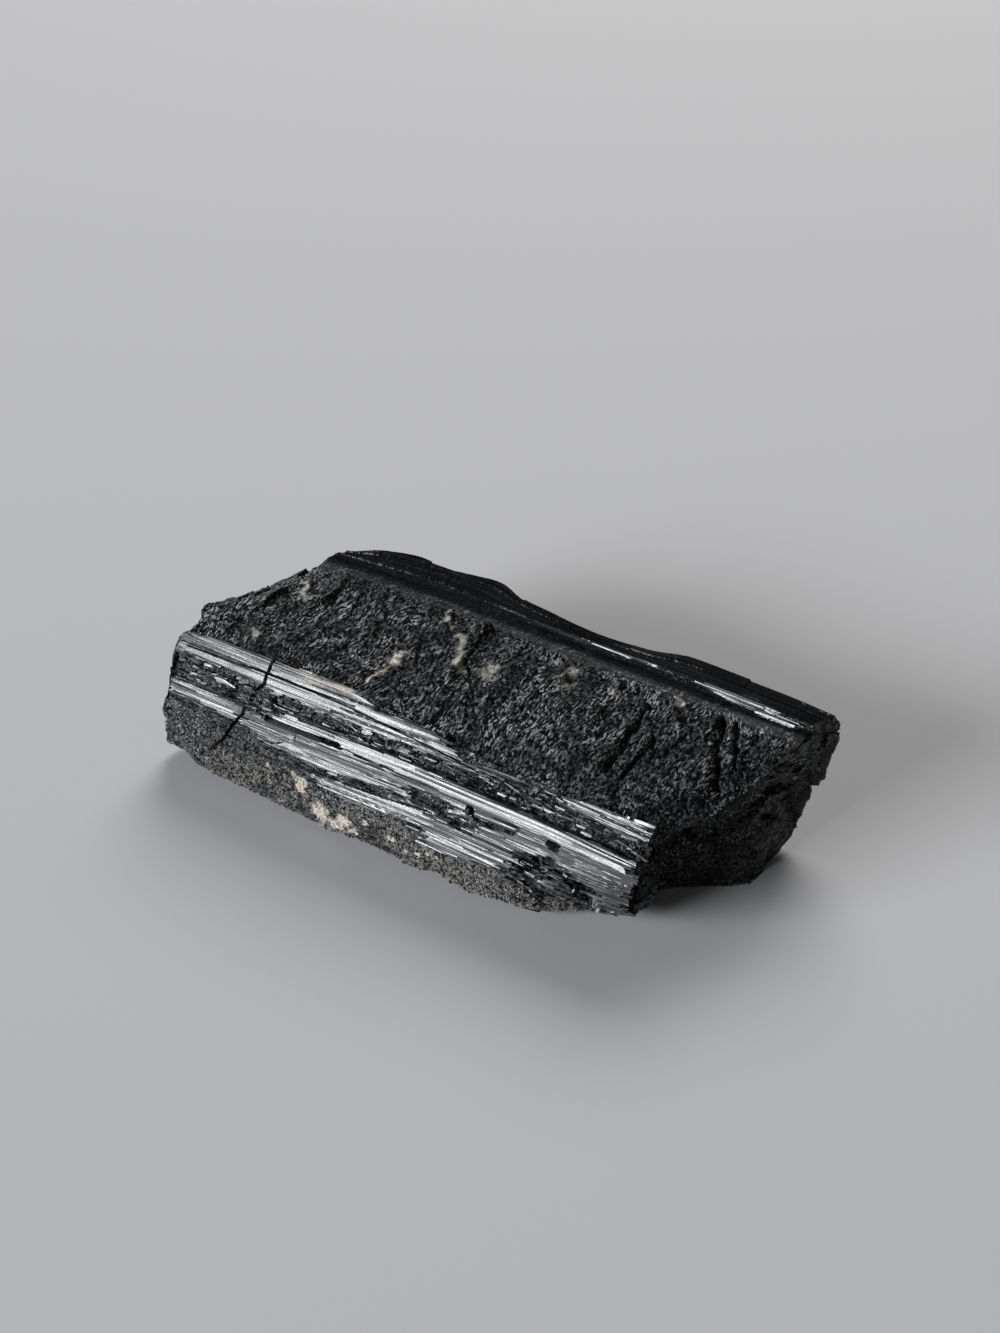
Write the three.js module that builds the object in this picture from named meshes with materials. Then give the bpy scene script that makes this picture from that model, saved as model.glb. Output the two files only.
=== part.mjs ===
// A rough black tourmaline crystal: a broken length of a striated prism that lies on its side.
// Millimetres. X runs along the crystal to its hollowed end, Y to the back, Z up.
import * as THREE from 'three';
import { mergeVertices } from 'three/addons/utils/BufferGeometryUtils.js';

// Driving dimensions
const LENGTH = 86.5;
const WIDTH = 37;
const HEIGHT = 23;
const HALF_LENGTH = LENGTH / 2;
const HALF_WIDTH = WIDTH / 2;

// The long edges of the crystal, in order round the section, from the top front edge over the top and
// down the back. Each holds stations from the left end to the right end, as shares of the half length,
// the half width and the height. strips is how many the face up to the next edge is divided into,
// and finish is that face's surface.
const EDGES = [
  { name: 'topFront', strips: 6, finish: 'fractured', stations: [
    [-0.95, -0.68, 0.86], [-0.78, -0.7, 0.895], [-0.47, -0.7, 0.925], [-0.31, -0.7, 0.93],
    [-0.15, -0.7, 0.9], [0.07, -0.7, 0.85], [0.26, -0.7, 0.81], [0.45, -0.7, 0.79], [0.73, -0.7, 0.8]] },
  { name: 'topNear', strips: 6, finish: 'fractured', stations: [
    [-0.99, -0.36, 0.86], [-0.82, -0.36, 0.9], [-0.51, -0.36, 0.94], [-0.09, -0.36, 0.93],
    [0.32, -0.36, 0.88], [0.63, -0.36, 0.85], [0.79, -0.36, 0.75]] },
  { name: 'topFar', strips: 6, finish: 'fractured', stations: [
    [-0.89, 0.06, 0.85], [-0.77, 0.08, 0.92], [-0.41, 0.08, 0.955], [0.11, 0.08, 0.95],
    [0.53, 0.08, 0.93], [0.78, 0.08, 0.89], [0.88, 0.08, 0.8]] },
  { name: 'topBack', strips: 3, finish: 'smooth', stations: [
    [-0.81, 0.47, 0.89], [-0.61, 0.46, 0.935], [0.11, 0.455, 0.94], [0.53, 0.46, 0.93],
    [0.93, 0.46, 0.93]] },
  { name: 'grooveBottom', strips: 1, finish: 'smooth', stations: [
    [-0.81, 0.62, 0.89], [-0.3, 0.63, 0.92], [0.32, 0.61, 0.915], [0.94, 0.62, 0.91]] },
  { name: 'ridgeFront', strips: 4, finish: 'ridge', stations: [
    [-0.79, 0.65, 0.93], [-0.41, 0.68, 0.975], [0.01, 0.65, 0.965], [0.53, 0.64, 0.965],
    [0.95, 0.63, 0.96]] },
  { name: 'ridgeBack', strips: 9, finish: 'striated', stations: [
    [-0.76, 0.72, 0.92], [-0.68, 0.82, 0.935], [-0.51, 0.9, 0.98], [-0.19, 0.92, 0.985],
    [-0.11, 0.83, 0.975], [0.06, 0.79, 0.97], [0.38, 0.79, 0.975], [0.48, 0.87, 0.98],
    [0.74, 0.86, 0.98], [0.97, 0.85, 0.98]] },
  { name: 'backMiddle', strips: 9, finish: 'striated', stations: [
    [-0.82, 0.93, 0.6], [-0.41, 0.99, 0.62], [0.22, 0.96, 0.6], [0.98, 0.97, 0.62]] },
  { name: 'backBottom', strips: 2, finish: 'granular', stations: [
    [-0.85, 0.74, 0.13], [-0.41, 0.8, 0.08], [0.32, 0.82, 0.06], [0.93, 0.72, 0.07]] },
  { name: 'baseBack', strips: 3, finish: 'base', stations: [
    [-0.86, 0.6, 0.08], [-0.51, 0.66, 0], [0.43, 0.68, 0], [0.92, 0.52, 0]] },
  { name: 'baseMiddle', strips: 4, finish: 'base', stations: [
    [-0.95, 0, 0.13], [-0.63, 0, 0.02], [-0.41, 0, 0], [0.53, 0.02, 0], [0.86, 0.02, 0]] },
  { name: 'baseFront', strips: 2, finish: 'granular', stations: [
    [-0.99, -0.72, 0.08], [-0.63, -0.78, 0.05], [-0.41, -0.8, 0], [0.32, -0.84, 0], [0.5, -0.8, 0],
    [0.63, -0.56, 0]] },
  { name: 'belly', strips: 3, finish: 'granular', stations: [
    [-1, -0.9, 0.09], [-0.88, -0.95, 0.08], [-0.8, -1, 0.08], [-0.51, -1, 0.07], [-0.09, -1, 0.08],
    [0.32, -1, 0.08], [0.48, -0.98, 0.08], [0.61, -0.8, 0.08], [0.68, -0.62, 0.1]] },
  { name: 'frontLow', strips: 18, finish: 'striated', stations: [
    [-0.97, -0.97, 0.33], [-0.51, -1, 0.32], [0.01, -1, 0.27], [0.43, -0.99, 0.27], [0.72, -0.86, 0.3]] },
  { name: 'crest', strips: 10, finish: 'striated', stations: [
    [-0.95, -0.88, 0.63], [-0.51, -0.9, 0.66], [0.01, -0.89, 0.68], [0.43, -0.89, 0.675],
    [0.73, -0.89, 0.65]] },
];

// Rings along the crystal: even steps, and a close pair at each share of the length where columns snapped
const EVEN_RINGS = 26;
const SNAPS = [0.2, 0.355, 0.545, 0.6, 0.725, 0.78];
const SNAP_WIDTH = 0.5;
const SNAP_CLEARANCE = 2.5;

// A striated face: the groove between neighbouring columns, how much their heights differ, and how many
// of the columns did not snap at a given place
const GROOVE_DEPTH = 0.35;
const COLUMN_STEP = 0.55;
const UNSNAPPED = 0.45;

// The fracture on the top: cross ledges that bow and wander and grow towards the hollowed end, over
// broad lumps and a coarse grain
const LEDGE_PITCH = 5.2;
const LEDGE_HEIGHT = 0.8;
const LEDGE_BOW = 0.02;
const LEDGE_WANDER = { size: 12, reach: 0.9, seed: 3 };
const LEDGE_STRENGTH = { middle: 0.45, least: 0.25 };
const LUMPS = { size: 8, height: 0.65, seed: 5 };
const GRAIN = { size: 2.6, height: 0.3, seed: 6 };

// The ridge along the back, the rough sides, and how near the base those stay flat
const RIDGE = { size: 9, height: 0.4, seed: 8 };
const SIDE_LUMPS = { size: 2.6, height: 0.65, seed: 9 };
const FLAT_BELOW = 0.4;

// The broken ends: steps like snapped columns, a grain, and the hollows in the right end. The rim takes
// a share of the relief, which fades out over the last stretch of the sides.
const END_STEPS = { size: 4.5, height: 1.3 };
const END_GRAIN = { size: 1.8, height: 0.4 };
const END_RIM_SHARE = 0.4;
const END_REACH = 0.1;
const RUNG_STEPS = 9;
const FIRST_RUNG_EDGE = 'crest';
const RIGHT_SEED = 12;
const LEFT_SEED = 14;
const END_HOLLOWS = [
  { y: -2, z: 10, across: 8, up: 4.2, depth: 4.5 },
  { y: 9, z: 13, across: 5, up: 5, depth: 2 },
  { y: -10, z: 8, across: 3, up: 4, depth: 1.5 },
];

// Hollows in the front: the sunken band between the two plates, and the broken lower right corner
const FRONT_FACING = -0.5;
const FRONT_HOLLOWS = [
  { x: 2, z: 17.6, along: 26, up: 1.2, depth: 0.9 },
  { x: -38, z: 17.6, along: 5, up: 1.3, depth: 0.8 },
  { x: -26, z: 13, along: 1.2, up: 5, depth: 0.8 },
  { x: 22, z: 5.2, along: 5.5, up: 2.6, depth: 2.2 },
  { x: 9.5, z: 9.5, along: 2.2, up: 1, depth: 1.2 },
];

// A repeatable number from 0 to 1 for a place in a grid
function chance(i, j, seed) {
  const n = Math.sin(i * 127.1 + j * 311.7 + seed * 74.7) * 43758.5453;
  return n - Math.floor(n);
}

// Smooth noise from -1 to 1 that changes over one unit
function wave(x, y, seed) {
  const i = Math.floor(x);
  const j = Math.floor(y);
  const a = THREE.MathUtils.smoothstep(x - i, 0, 1);
  const b = THREE.MathUtils.smoothstep(y - j, 0, 1);
  const near = THREE.MathUtils.lerp(chance(i, j, seed), chance(i + 1, j, seed), a);
  const far = THREE.MathUtils.lerp(chance(i, j + 1, seed), chance(i + 1, j + 1, seed), a);
  return 2 * THREE.MathUtils.lerp(near, far, b) - 1;
}

// Smooth lumps of a given size and height
function lumps({ size, height, seed }, x, y) {
  return height * wave(x / size, y / size, seed);
}

// The point of a long edge at a share of the way from its left end to its right end
function edgePoint(edge, share) {
  const stations = edge.stations;
  const first = stations[0][0];
  const last = stations[stations.length - 1][0];
  const x = THREE.MathUtils.lerp(first, last, share);
  let k = 0;
  while (k < stations.length - 2 && stations[k + 1][0] < x) k += 1;
  const [a, b] = [stations[k], stations[k + 1]];
  const f = (x - a[0]) / (b[0] - a[0]);
  return new THREE.Vector3(
    x * HALF_LENGTH,
    THREE.MathUtils.lerp(a[1], b[1], f) * HALF_WIDTH,
    THREE.MathUtils.lerp(a[2], b[2], f) * HEIGHT,
  );
}

// How far the fractured top stands out
function fracturedRelief(x, y) {
  const { size, reach, seed } = LEDGE_WANDER;
  const phase = (x + LEDGE_BOW * y * y + reach * wave(x / size, y / size, seed)) / LEDGE_PITCH;
  const ledge = phase - Math.floor(phase);
  const strength = THREE.MathUtils.clamp(LEDGE_STRENGTH.middle + x / LENGTH, LEDGE_STRENGTH.least, 1);
  return LEDGE_HEIGHT * strength * (0.5 - ledge) + lumps(LUMPS, x, y) + lumps(GRAIN, x, y);
}

// How far a column of a striated face stands out: each keeps its height between the places it snapped
function columnRelief(face, column, share) {
  const piece = SNAPS.filter((snap, k) => share > snap && chance(column, k, face) > UNSNAPPED).length;
  return COLUMN_STEP * (chance(column, piece, face + EDGES.length) - 0.5);
}

// How deep a list of hollows cuts at a place, given by its two coordinates in their plane
function depthOf(hollows, [u, uReach], [v, vReach], at) {
  return hollows.reduce((sum, h) => {
    const r = ((at[u] - h[u]) / h[uReach]) ** 2 + ((at[v] - h[v]) / h[vReach]) ** 2;
    return sum + h.depth * Math.exp(-r);
  }, 0);
}

// How far a surface of each finish stands out at a place on the crystal
function relief(face, column, share, point) {
  const { x, y, z } = point;
  switch (EDGES[face].finish) {
    case 'fractured':
      return fracturedRelief(x, y);
    case 'striated':
      return column % 2 ? columnRelief(face, column, share) : -GROOVE_DEPTH;
    case 'ridge':
      return lumps(RIDGE, x, y);
    case 'granular':
      return z > FLAT_BELOW ? lumps(SIDE_LUMPS, x, z) : 0;
    default:
      return 0;
  }
}

// How far a broken end stands out along X at a place on it
function endRelief(y, z, seed) {
  return lumps({ ...END_STEPS, seed }, y, z) + lumps({ ...END_GRAIN, seed: seed + 1 }, y, z);
}

// The shares of the length at which the rings lie
function ringShares() {
  const shares = Array.from({ length: EVEN_RINGS + 1 }, (_, i) => i / EVEN_RINGS);
  const half = SNAP_WIDTH / LENGTH / 2;
  const isClear = (share) => SNAPS.every((snap) => Math.abs(share - snap) > SNAP_CLEARANCE * half);
  const clear = shares.filter(isClear);
  return [...clear, ...SNAPS.flatMap((snap) => [snap - half, snap + half])].sort((a, b) => a - b);
}

// One closed ring of points round the crystal
function ring(share) {
  const places = EDGES.flatMap((edge, face) => {
    const from = edgePoint(edge, share);
    const to = edgePoint(EDGES[(face + 1) % EDGES.length], share);
    return Array.from({ length: edge.strips }, (_, column) => (
      { face, column, point: from.clone().lerp(to, column / edge.strips) }
    ));
  });
  const rightPull = END_RIM_SHARE * Math.max(0, (share - 1 + END_REACH) / END_REACH);
  const leftPull = END_RIM_SHARE * Math.max(0, (END_REACH - share) / END_REACH);
  return places.map(({ face, column, point }, k) => {
    const before = places[(k + places.length - 1) % places.length].point;
    const after = places[(k + 1) % places.length].point;
    const outward = new THREE.Vector3(0, before.z - after.z, after.y - before.y).normalize();
    const front = outward.y < FRONT_FACING;
    const hollow = front ? depthOf(FRONT_HOLLOWS, ['x', 'along'], ['z', 'up'], point) : 0;
    const moved = point.clone().addScaledVector(outward, relief(face, column, share, point) - hollow);
    moved.x += rightPull * endRelief(point.y, point.z, RIGHT_SEED);
    moved.x -= leftPull * endRelief(point.y, point.z, LEFT_SEED);
    return moved;
  });
}

// The points of a broken end, as rungs that each run from a point low on the last ring to one high on it.
// The first and last rungs are single points, where the low and the high side of the ring meet.
function endRungs(rim, side) {
  const seed = side > 0 ? RIGHT_SEED : LEFT_SEED;
  const firstFace = EDGES.findIndex((edge) => edge.name === FIRST_RUNG_EDGE);
  const start = EDGES.slice(0, firstFace).reduce((sum, edge) => sum + edge.strips, 0);
  const rungs = rim.length / 2;
  return Array.from({ length: rungs - 1 }, (_, i) => {
    const low = (start - i - 1 + rim.length) % rim.length;
    const high = (start + i + 1) % rim.length;
    const between = Array.from({ length: RUNG_STEPS - 1 }, (__, k) => {
      const f = (k + 1) / RUNG_STEPS;
      const p = rim[low].clone().lerp(rim[high], f);
      const fade = Math.sqrt(Math.sin(Math.PI * f) * Math.sin((Math.PI * (i + 1)) / rungs));
      const hollow = side > 0 ? depthOf(END_HOLLOWS, ['y', 'across'], ['z', 'up'], p) : 0;
      p.x += side * (endRelief(p.y, p.z, seed) - hollow) * fade;
      return p;
    });
    return { low, high, between };
  });
}

// The closed surface of the whole crystal
function crystalGeometry() {
  const rings = ringShares().map(ring);
  const count = rings[0].length;
  const points = rings.flat();
  const faces = [];
  const addTriangle = (a, b, c) => {
    if (a !== b && b !== c && c !== a) faces.push(a, b, c);
  };
  const addQuad = (a, b, c, d) => {
    addTriangle(a, b, c);
    addTriangle(a, c, d);
  };
  const id = (i, j) => i * count + (j % count);
  for (let i = 0; i + 1 < rings.length; i += 1) {
    for (let j = 0; j < count; j += 1) addQuad(id(i, j), id(i + 1, j), id(i + 1, j + 1), id(i, j + 1));
  }
  [[0, -1], [rings.length - 1, 1]].forEach(([last, side]) => {
    const rungs = endRungs(rings[last], side).map(({ low, high, between }) => {
      const first = points.length;
      points.push(...between);
      return [id(last, low), ...between.map((_, k) => first + k), id(last, high)];
    });
    const nearest = rungs[0][RUNG_STEPS] - 1;
    const furthest = id(last, (nearest + count / 2) % count);
    const ladder = [Array(RUNG_STEPS + 1).fill(nearest), ...rungs, Array(RUNG_STEPS + 1).fill(furthest)];
    for (let i = 0; i + 1 < ladder.length; i += 1) {
      for (let k = 0; k < RUNG_STEPS; k += 1) {
        const quad = [ladder[i][k], ladder[i + 1][k], ladder[i + 1][k + 1], ladder[i][k + 1]];
        if (side > 0) addQuad(...quad);
        else addQuad(quad[3], quad[2], quad[1], quad[0]);
      }
    }
  });
  return mergeVertices(new THREE.BufferGeometry().setFromPoints(points).setIndex(faces));
}

// Scaled to the driving dimensions, and set down with the middle of its base at the origin
function setDown(geometry) {
  geometry.computeBoundingBox();
  const { min, max } = geometry.boundingBox;
  geometry.translate(-(min.x + max.x) / 2, -(min.y + max.y) / 2, -min.z);
  geometry.scale(LENGTH / (max.x - min.x), WIDTH / (max.y - min.y), HEIGHT / (max.z - min.z));
  return geometry;
}

const crystal = new THREE.Mesh(
  setDown(crystalGeometry()),
  new THREE.MeshStandardMaterial({ color: 0x1d1f22, roughness: 0.45, metalness: 0 }),
);
crystal.name = 'tourmaline_crystal';

const part = new THREE.Group();
part.add(crystal);
export default part;
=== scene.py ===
"""The looks of a rough black tourmaline crystal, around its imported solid.

Lengths in the tables are millimetres: along the crystal (x) and round its section (girth). Girth is 0 on
the top front edge, grows over the top to the back, and is negative down the front.
"""

import math

import bpy
import numpy as np
from bpy.props import FloatProperty, FloatVectorProperty, IntProperty, PointerProperty
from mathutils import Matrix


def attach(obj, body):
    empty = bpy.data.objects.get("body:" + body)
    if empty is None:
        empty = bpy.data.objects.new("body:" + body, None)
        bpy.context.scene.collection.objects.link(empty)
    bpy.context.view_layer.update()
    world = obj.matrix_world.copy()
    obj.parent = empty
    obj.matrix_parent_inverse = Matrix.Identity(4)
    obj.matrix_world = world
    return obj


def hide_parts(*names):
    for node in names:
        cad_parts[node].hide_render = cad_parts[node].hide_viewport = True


bl_info = {
    "name": "Black tourmaline crystal",
    "version": (1, 0, 0),
    "blender": (4, 5, 0),
    "location": "3D View > Sidebar > Tourmaline",
    "description": "Builds a rough black tourmaline crystal, its broken splinters and its pale grains",
    "category": "Add Mesh",
}

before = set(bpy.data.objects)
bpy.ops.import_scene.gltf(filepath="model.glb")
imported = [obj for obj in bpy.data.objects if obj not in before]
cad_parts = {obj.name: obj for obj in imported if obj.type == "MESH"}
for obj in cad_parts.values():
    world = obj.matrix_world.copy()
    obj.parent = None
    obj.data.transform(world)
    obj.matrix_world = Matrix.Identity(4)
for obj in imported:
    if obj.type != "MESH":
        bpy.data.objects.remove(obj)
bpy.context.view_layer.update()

MM = 0.001
SOLID = "tourmaline_crystal"
SURFACE = "tourmaline_crystal_surface"

# The size before the solid was set down, and how setting it down stretched and moved it
HALF_SIZE = np.array([43.25, 18.5, 23.0])
LENGTH = 2 * HALF_SIZE[0]
SET_DOWN_STRETCH = np.array([1.01104, 1.00015, 1.01155])
SET_DOWN_SHIFT = np.array([0.374, 0.4985, 0.0])

# The long edges, in order round the section: the girth of the face that follows, the spacing of its columns
# of points, and stations from left to right as shares of the half length, the half width and the height
EDGES = [
    ("top front", 6.4, 0.2, [
        (-0.95, -0.68, 0.86), (-0.78, -0.7, 0.895), (-0.47, -0.7, 0.925), (-0.31, -0.7, 0.93),
        (-0.15, -0.7, 0.9), (0.07, -0.7, 0.85), (0.26, -0.7, 0.81), (0.45, -0.7, 0.79), (0.73, -0.7, 0.8)]),
    ("top near", 8.2, 0.2, [
        (-0.99, -0.36, 0.86), (-0.82, -0.36, 0.9), (-0.51, -0.36, 0.94), (-0.09, -0.36, 0.93),
        (0.32, -0.36, 0.88), (0.63, -0.36, 0.85), (0.79, -0.36, 0.75)]),
    ("top far", 6.9, 0.22, [
        (-0.89, 0.06, 0.85), (-0.77, 0.08, 0.92), (-0.41, 0.08, 0.955), (0.11, 0.08, 0.95),
        (0.53, 0.08, 0.93), (0.78, 0.08, 0.89), (0.88, 0.08, 0.8)]),
    ("top back", 3.1, 0.2, [
        (-0.81, 0.47, 0.89), (-0.61, 0.46, 0.935), (0.11, 0.455, 0.94), (0.53, 0.46, 0.93),
        (0.93, 0.46, 0.93)]),
    ("groove bottom", 1.2, 0.15, [
        (-0.81, 0.62, 0.89), (-0.3, 0.63, 0.92), (0.32, 0.61, 0.915), (0.94, 0.62, 0.91)]),
    ("ridge front", 2.6, 0.14, [
        (-0.79, 0.65, 0.93), (-0.41, 0.68, 0.975), (0.01, 0.65, 0.965), (0.53, 0.64, 0.965),
        (0.95, 0.63, 0.96)]),
    ("ridge back", 9.0, 0.2, [
        (-0.76, 0.72, 0.92), (-0.68, 0.82, 0.935), (-0.51, 0.9, 0.98), (-0.19, 0.92, 0.985),
        (-0.11, 0.83, 0.975), (0.06, 0.79, 0.97), (0.38, 0.79, 0.975), (0.48, 0.87, 0.98),
        (0.74, 0.86, 0.98), (0.97, 0.85, 0.98)]),
    ("back middle", 12.7, 0.35, [
        (-0.82, 0.93, 0.6), (-0.41, 0.99, 0.62), (0.22, 0.96, 0.6), (0.98, 0.97, 0.62)]),
    ("back bottom", 3.0, 0.6, [
        (-0.85, 0.74, 0.13), (-0.41, 0.8, 0.08), (0.32, 0.82, 0.06), (0.9, 0.7, 0.07)]),
    ("base back", 12.3, 1.5, [
        (-0.86, 0.6, 0.08), (-0.51, 0.66, 0), (0.43, 0.68, 0), (0.87, 0.5, 0)]),
    ("base middle", 15.2, 1.5, [
        (-0.95, 0, 0.13), (-0.63, 0, 0.02), (-0.41, 0, 0), (0.53, 0.02, 0), (0.895, 0.2, 0)]),
    ("base front", 3.9, 0.3, [
        (-0.99, -0.72, 0.08), (-0.63, -0.78, 0.05), (-0.41, -0.8, 0), (0.32, -0.84, 0), (0.5, -0.7, 0),
        (0.65, -0.2, 0)]),
    ("belly", 4.7, 0.14, [
        (-1, -0.9, 0.09), (-0.88, -0.95, 0.08), (-0.8, -1, 0.08), (-0.51, -1, 0.07), (-0.09, -1, 0.08),
        (0.32, -1, 0.08), (0.42, -0.97, 0.08), (0.5, -0.84, 0.08), (0.6, -0.71, 0.08), (0.68, -0.62, 0.1)]),
    ("front low", 9.2, 0.08, [
        (-0.97, -0.97, 0.33), (-0.51, -1, 0.32), (0.01, -1, 0.27), (0.43, -0.99, 0.27),
        (0.72, -0.86, 0.3)]),
    ("crest", 6.1, 0.08, [
        (-0.95, -0.88, 0.63), (-0.51, -0.9, 0.66), (0.01, -0.89, 0.68), (0.43, -0.89, 0.675),
        (0.73, -0.89, 0.65)]),
]
GIRTH = sum(edge[1] for edge in EDGES)
BASE_FROM = 53.1
RINGS = 360
EDGE_ROUNDING = 0.4

# The upper edge of the front, and the whole striated part of it, as (x, girth)
LIP = [
    (-42.5, -0.3), (-35.4, 0.2), (-26, 0.2), (-20.9, 0.2), (-15, 0.5), (-11.5, 0.1), (-8, -0.7),
    (-4.6, 0.1), (-0.1, -0.1), (2.8, -0.4), (4.9, -1.8), (8, -1.1), (10.7, -0.6), (14.4, -0.4)]
FACE = LIP + [
    (19.2, 0.1), (27, 0.4), (32.5, 0.8), (32.5, -11.4), (30.8, -20.3), (27.6, -20), (27.3, -13.8),
    (15.6, -13.5), (12.3, -14.2), (6.9, -15.2), (1.3, -15.3), (-0.9, -13.5), (-5.7, -13.9),
    (-11.7, -14.4), (-18.1, -13.2), (-22.3, -12.6), (-26, -11.4), (-29, -9.6), (-36, -9.7), (-42.5, -9.5)]

# The plates that stand out from the front: lift, how much of the even lean they take, depth of the flutes as
# a share, and outline
PLATES = [
    ("upper plate", 0.35, -0.5, 1.1, LIP + [
        (8.5, -2.5), (4.6, -3.0), (-2.4, -3.0), (-12.1, -3.5), (-19.4, -3.6), (-26.1, -2.9),
        (-33.5, -2.9), (-42.5, -2.7)]),
    ("right upper plate", 0.3, 0.6, 0.9, [
        (19.2, 0.1), (27, 0.4), (32.5, 0.8), (32.5, -2.4), (26.6, -1.7), (22.7, -1.4), (20, -1.2)]),
    ("chip in the left band", 0.45, 1.0, 0.4, [
        (-33.6, -4.3), (-31.2, -4.1), (-30.0, -4.8), (-31.6, -5.4), (-33.4, -5.1)]),
    ("left plate", 0.45, 0.66, 0.7, [
        (-42.5, -6.9), (-35, -6.6), (-28.6, -6.9), (-28.9, -8.6), (-31, -9.4), (-36, -9.6), (-42.5, -9.4)]),
    ("crest plate", 0.6, 1.0, 0.32, [
        (-23.5, -5.4), (-12, -5.2), (3, -5.3), (20, -5.4), (32.5, -5.2), (32.5, -7.0), (27, -7.0),
        (20, -7.0), (9, -7.2), (0, -6.9), (-12, -6.6), (-22.5, -6.6)]),
    ("middle band", 0.4, 0.55, 0.6, [
        (-20.3, -8.8), (-10.8, -9.2), (-2.3, -8.8), (-2.2, -10), (-6.4, -10), (-13.6, -11),
        (-19.4, -11.1), (-25.6, -11.1)]),
    ("lower band", 0.4, 0.57, 0.6, [
        (-18.1, -13), (-10.6, -11.9), (-4.8, -11.4), (2.7, -10.6), (3, -13.2), (-0.9, -13.2),
        (-5.7, -13.9), (-11.7, -14.4)]),
    ("lower right band", 0.5, 0.72, 0.5, [
        (1.8, -13), (6.6, -13), (12.1, -12.2), (15.7, -12.1), (15.6, -13.3), (12.3, -14.2),
        (6.9, -15.2), (1.3, -15.3)]),
    ("strip under the crest", 0.15, 0.6, 0.6, [
        (-16, -7.2), (0, -7.4), (8.2, -7.6), (8.2, -8.2), (-2, -8.2), (-16.5, -8.0)]),
    ("streak on the ridge", 0.0, 0.0, 0.5, [
        (-1, 25.6), (8, 25.5), (19, 25.8), (18.9, 26.3), (6, 26.1), (0, 26.0)]),
    ("patch on the ridge", 0.0, 0.0, 0.6, [
        (25.8, 25.4), (39.8, 24.4), (40.2, 25.6), (34, 26.6), (25.8, 26.4)]),
]
RIDGE_STREAKS = PLATES[-2:]
PLATE_EDGE = 0.12
# How far up from level a plate that takes its whole lean faces, in degrees, and the largest turn, in radians
LEANING_FACES_UP = 35.6
LARGEST_TURN = 0.8
# How the laths of the striated front lean out: the share of their lean, the slope that brings it out in full,
# the most it may come to, and the width and the lean of the even laths
LATH_LEAN = {"share": 0.5, "slope": 0.45, "most": 1.1, "width": 1.7, "even": 0.08}
LATHS_LEAN_UNDER = -6.0
FACE_LIFT = 0.25
FACE_STRIATION = 0.7

# Where the front and the back end above the base, in girth
FRONT_FOOT = -22
BACK_FOOT = 50

# The outline of the broken lower right corner of the front
BROKEN_CORNER = [
    (15.7, -12.1), (19.2, -10.2), (23.4, -11.7), (26.3, -13.2), (27.4, -14.8), (27.2, -20.5), (20.5, -20.6),
    (16.4, -17.4)]

# Rough or sunken places on the front: depth, how soft the rim is, and the outline (x, girth)
HOLLOWS = [
    ("band between the plates", 0.9, 0.3, [
        (-24, -3.4), (-19.4, -3.75), (-12.1, -3.65), (-2.4, -3.15), (4.6, -3.15), (8.5, -2.7), (14.4, -0.6),
        (19.2, -0.2), (20, -1.3), (22.7, -1.5), (26.6, -1.8), (32.5, -2.5), (32.5, -5.0), (20.8, -5.2),
        (3, -5.2), (-12, -5.1), (-24, -5.2)]),
    ("left rough band", 0.5, 0.4, [
        (-42.5, -3.0), (-34, -3.0), (-27.5, -3.2), (-24, -3.4), (-23.7, -5.2), (-24.5, -6.8), (-28.4, -6.6),
        (-36, -6.4), (-42.5, -6.6)]),
    ("broken corner", 2.2, 1.0, BROKEN_CORNER),
    ("patch under the middle band", 0.5, 0.4, [
        (-25.6, -11.3), (-19.4, -11.25), (-13.6, -11.15), (-6.4, -10.2), (-2.2, -10.2), (-4.8, -11.3),
        (-10.6, -11.8), (-18.1, -12.9), (-23, -12.4)]),
    ("broken patch", 0.5, 0.4, [
        (-2, -8.4), (8.4, -8.4), (8.6, -11.4), (3.2, -10.5), (-1.6, -10.4)]),
]

# Thin gaps and cracks: depth, width and the line (x, girth)
GAPS = [
    ("crack", 0.7, 0.4, [
        (-25.7, 0.3), (-26.1, -2), (-26.2, -3.1), (-27, -3.5), (-27.8, -4.7), (-28.2, -5.9),
        (-28.6, -8), (-30.6, -11.3), (-31.7, -14.1), (-33.6, -16.7)]),
    ("gap under the crest", 2.3, 1.2, [(-24.4, -7.0), (-18, -6.95), (-12.5, -6.75)]),
    ("gap under the crest, right", 0.8, 0.5, [(-10, -7.0), (0, -7.15), (8.5, -7.3)]),
    ("hole", 2.4, 1.3, [(8.3, -8.1), (8.2, -9.2)]),
    ("gap right of the hole", 2.2, 1.3, [(8.4, -9.1), (11.5, -8.9), (14.6, -8.5)]),
    ("small hole", 2.2, 1.6, [(20.5, -8.1), (20.9, -8.2)]),
    ("gap in the left plate", 0.8, 0.35, [(-40.5, -8.9), (-36, -8.9)]),
    ("line in the upper plate", 0.35, 0.22, [(-40, -1.9), (-26, -1.7), (-12, -1.9), (2, -2.1), (8, -2.4)]),
    ("line over the lower band", 0.5, 0.35, [(-11, -12.1), (-4.8, -11.6), (2.4, -10.9)]),
]

# The notch along the foot of the ridge
RIDGE_NOTCH = {"girth": 25.3, "half_width": 0.75, "depth": 0.6}

# Bars that lie on the front: how far their tops stand out, width and the line (x, girth)
BARS = [
    ("bar right of the hole", 0.75, 0.8, [(9.4, -8.1), (15.3, -7.9)]),
    ("bar in the broken corner", 0.6, 1.7, [(19.6, -13.9), (23.4, -15.0)]),
    ("short bar in the broken corner", 0.3, 0.8, [(20.3, -12.0), (22.2, -12.5)]),
    ("bar on the lower band", 0.9, 0.5, [(-0.5, -13.6), (1.4, -13.6)]),
    ("rung in the corner", -0.3, 0.5, [(20.4, -16.6), (22.6, -17.1)]),
    ("bar left in the corner", 0.2, 0.6, [(17.4, -13.4), (19.0, -13.7)]),
    ("block beside the crack", 0.8, 1.1, [(-26.6, -6.9), (-25.8, -6.9)]),
]

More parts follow.
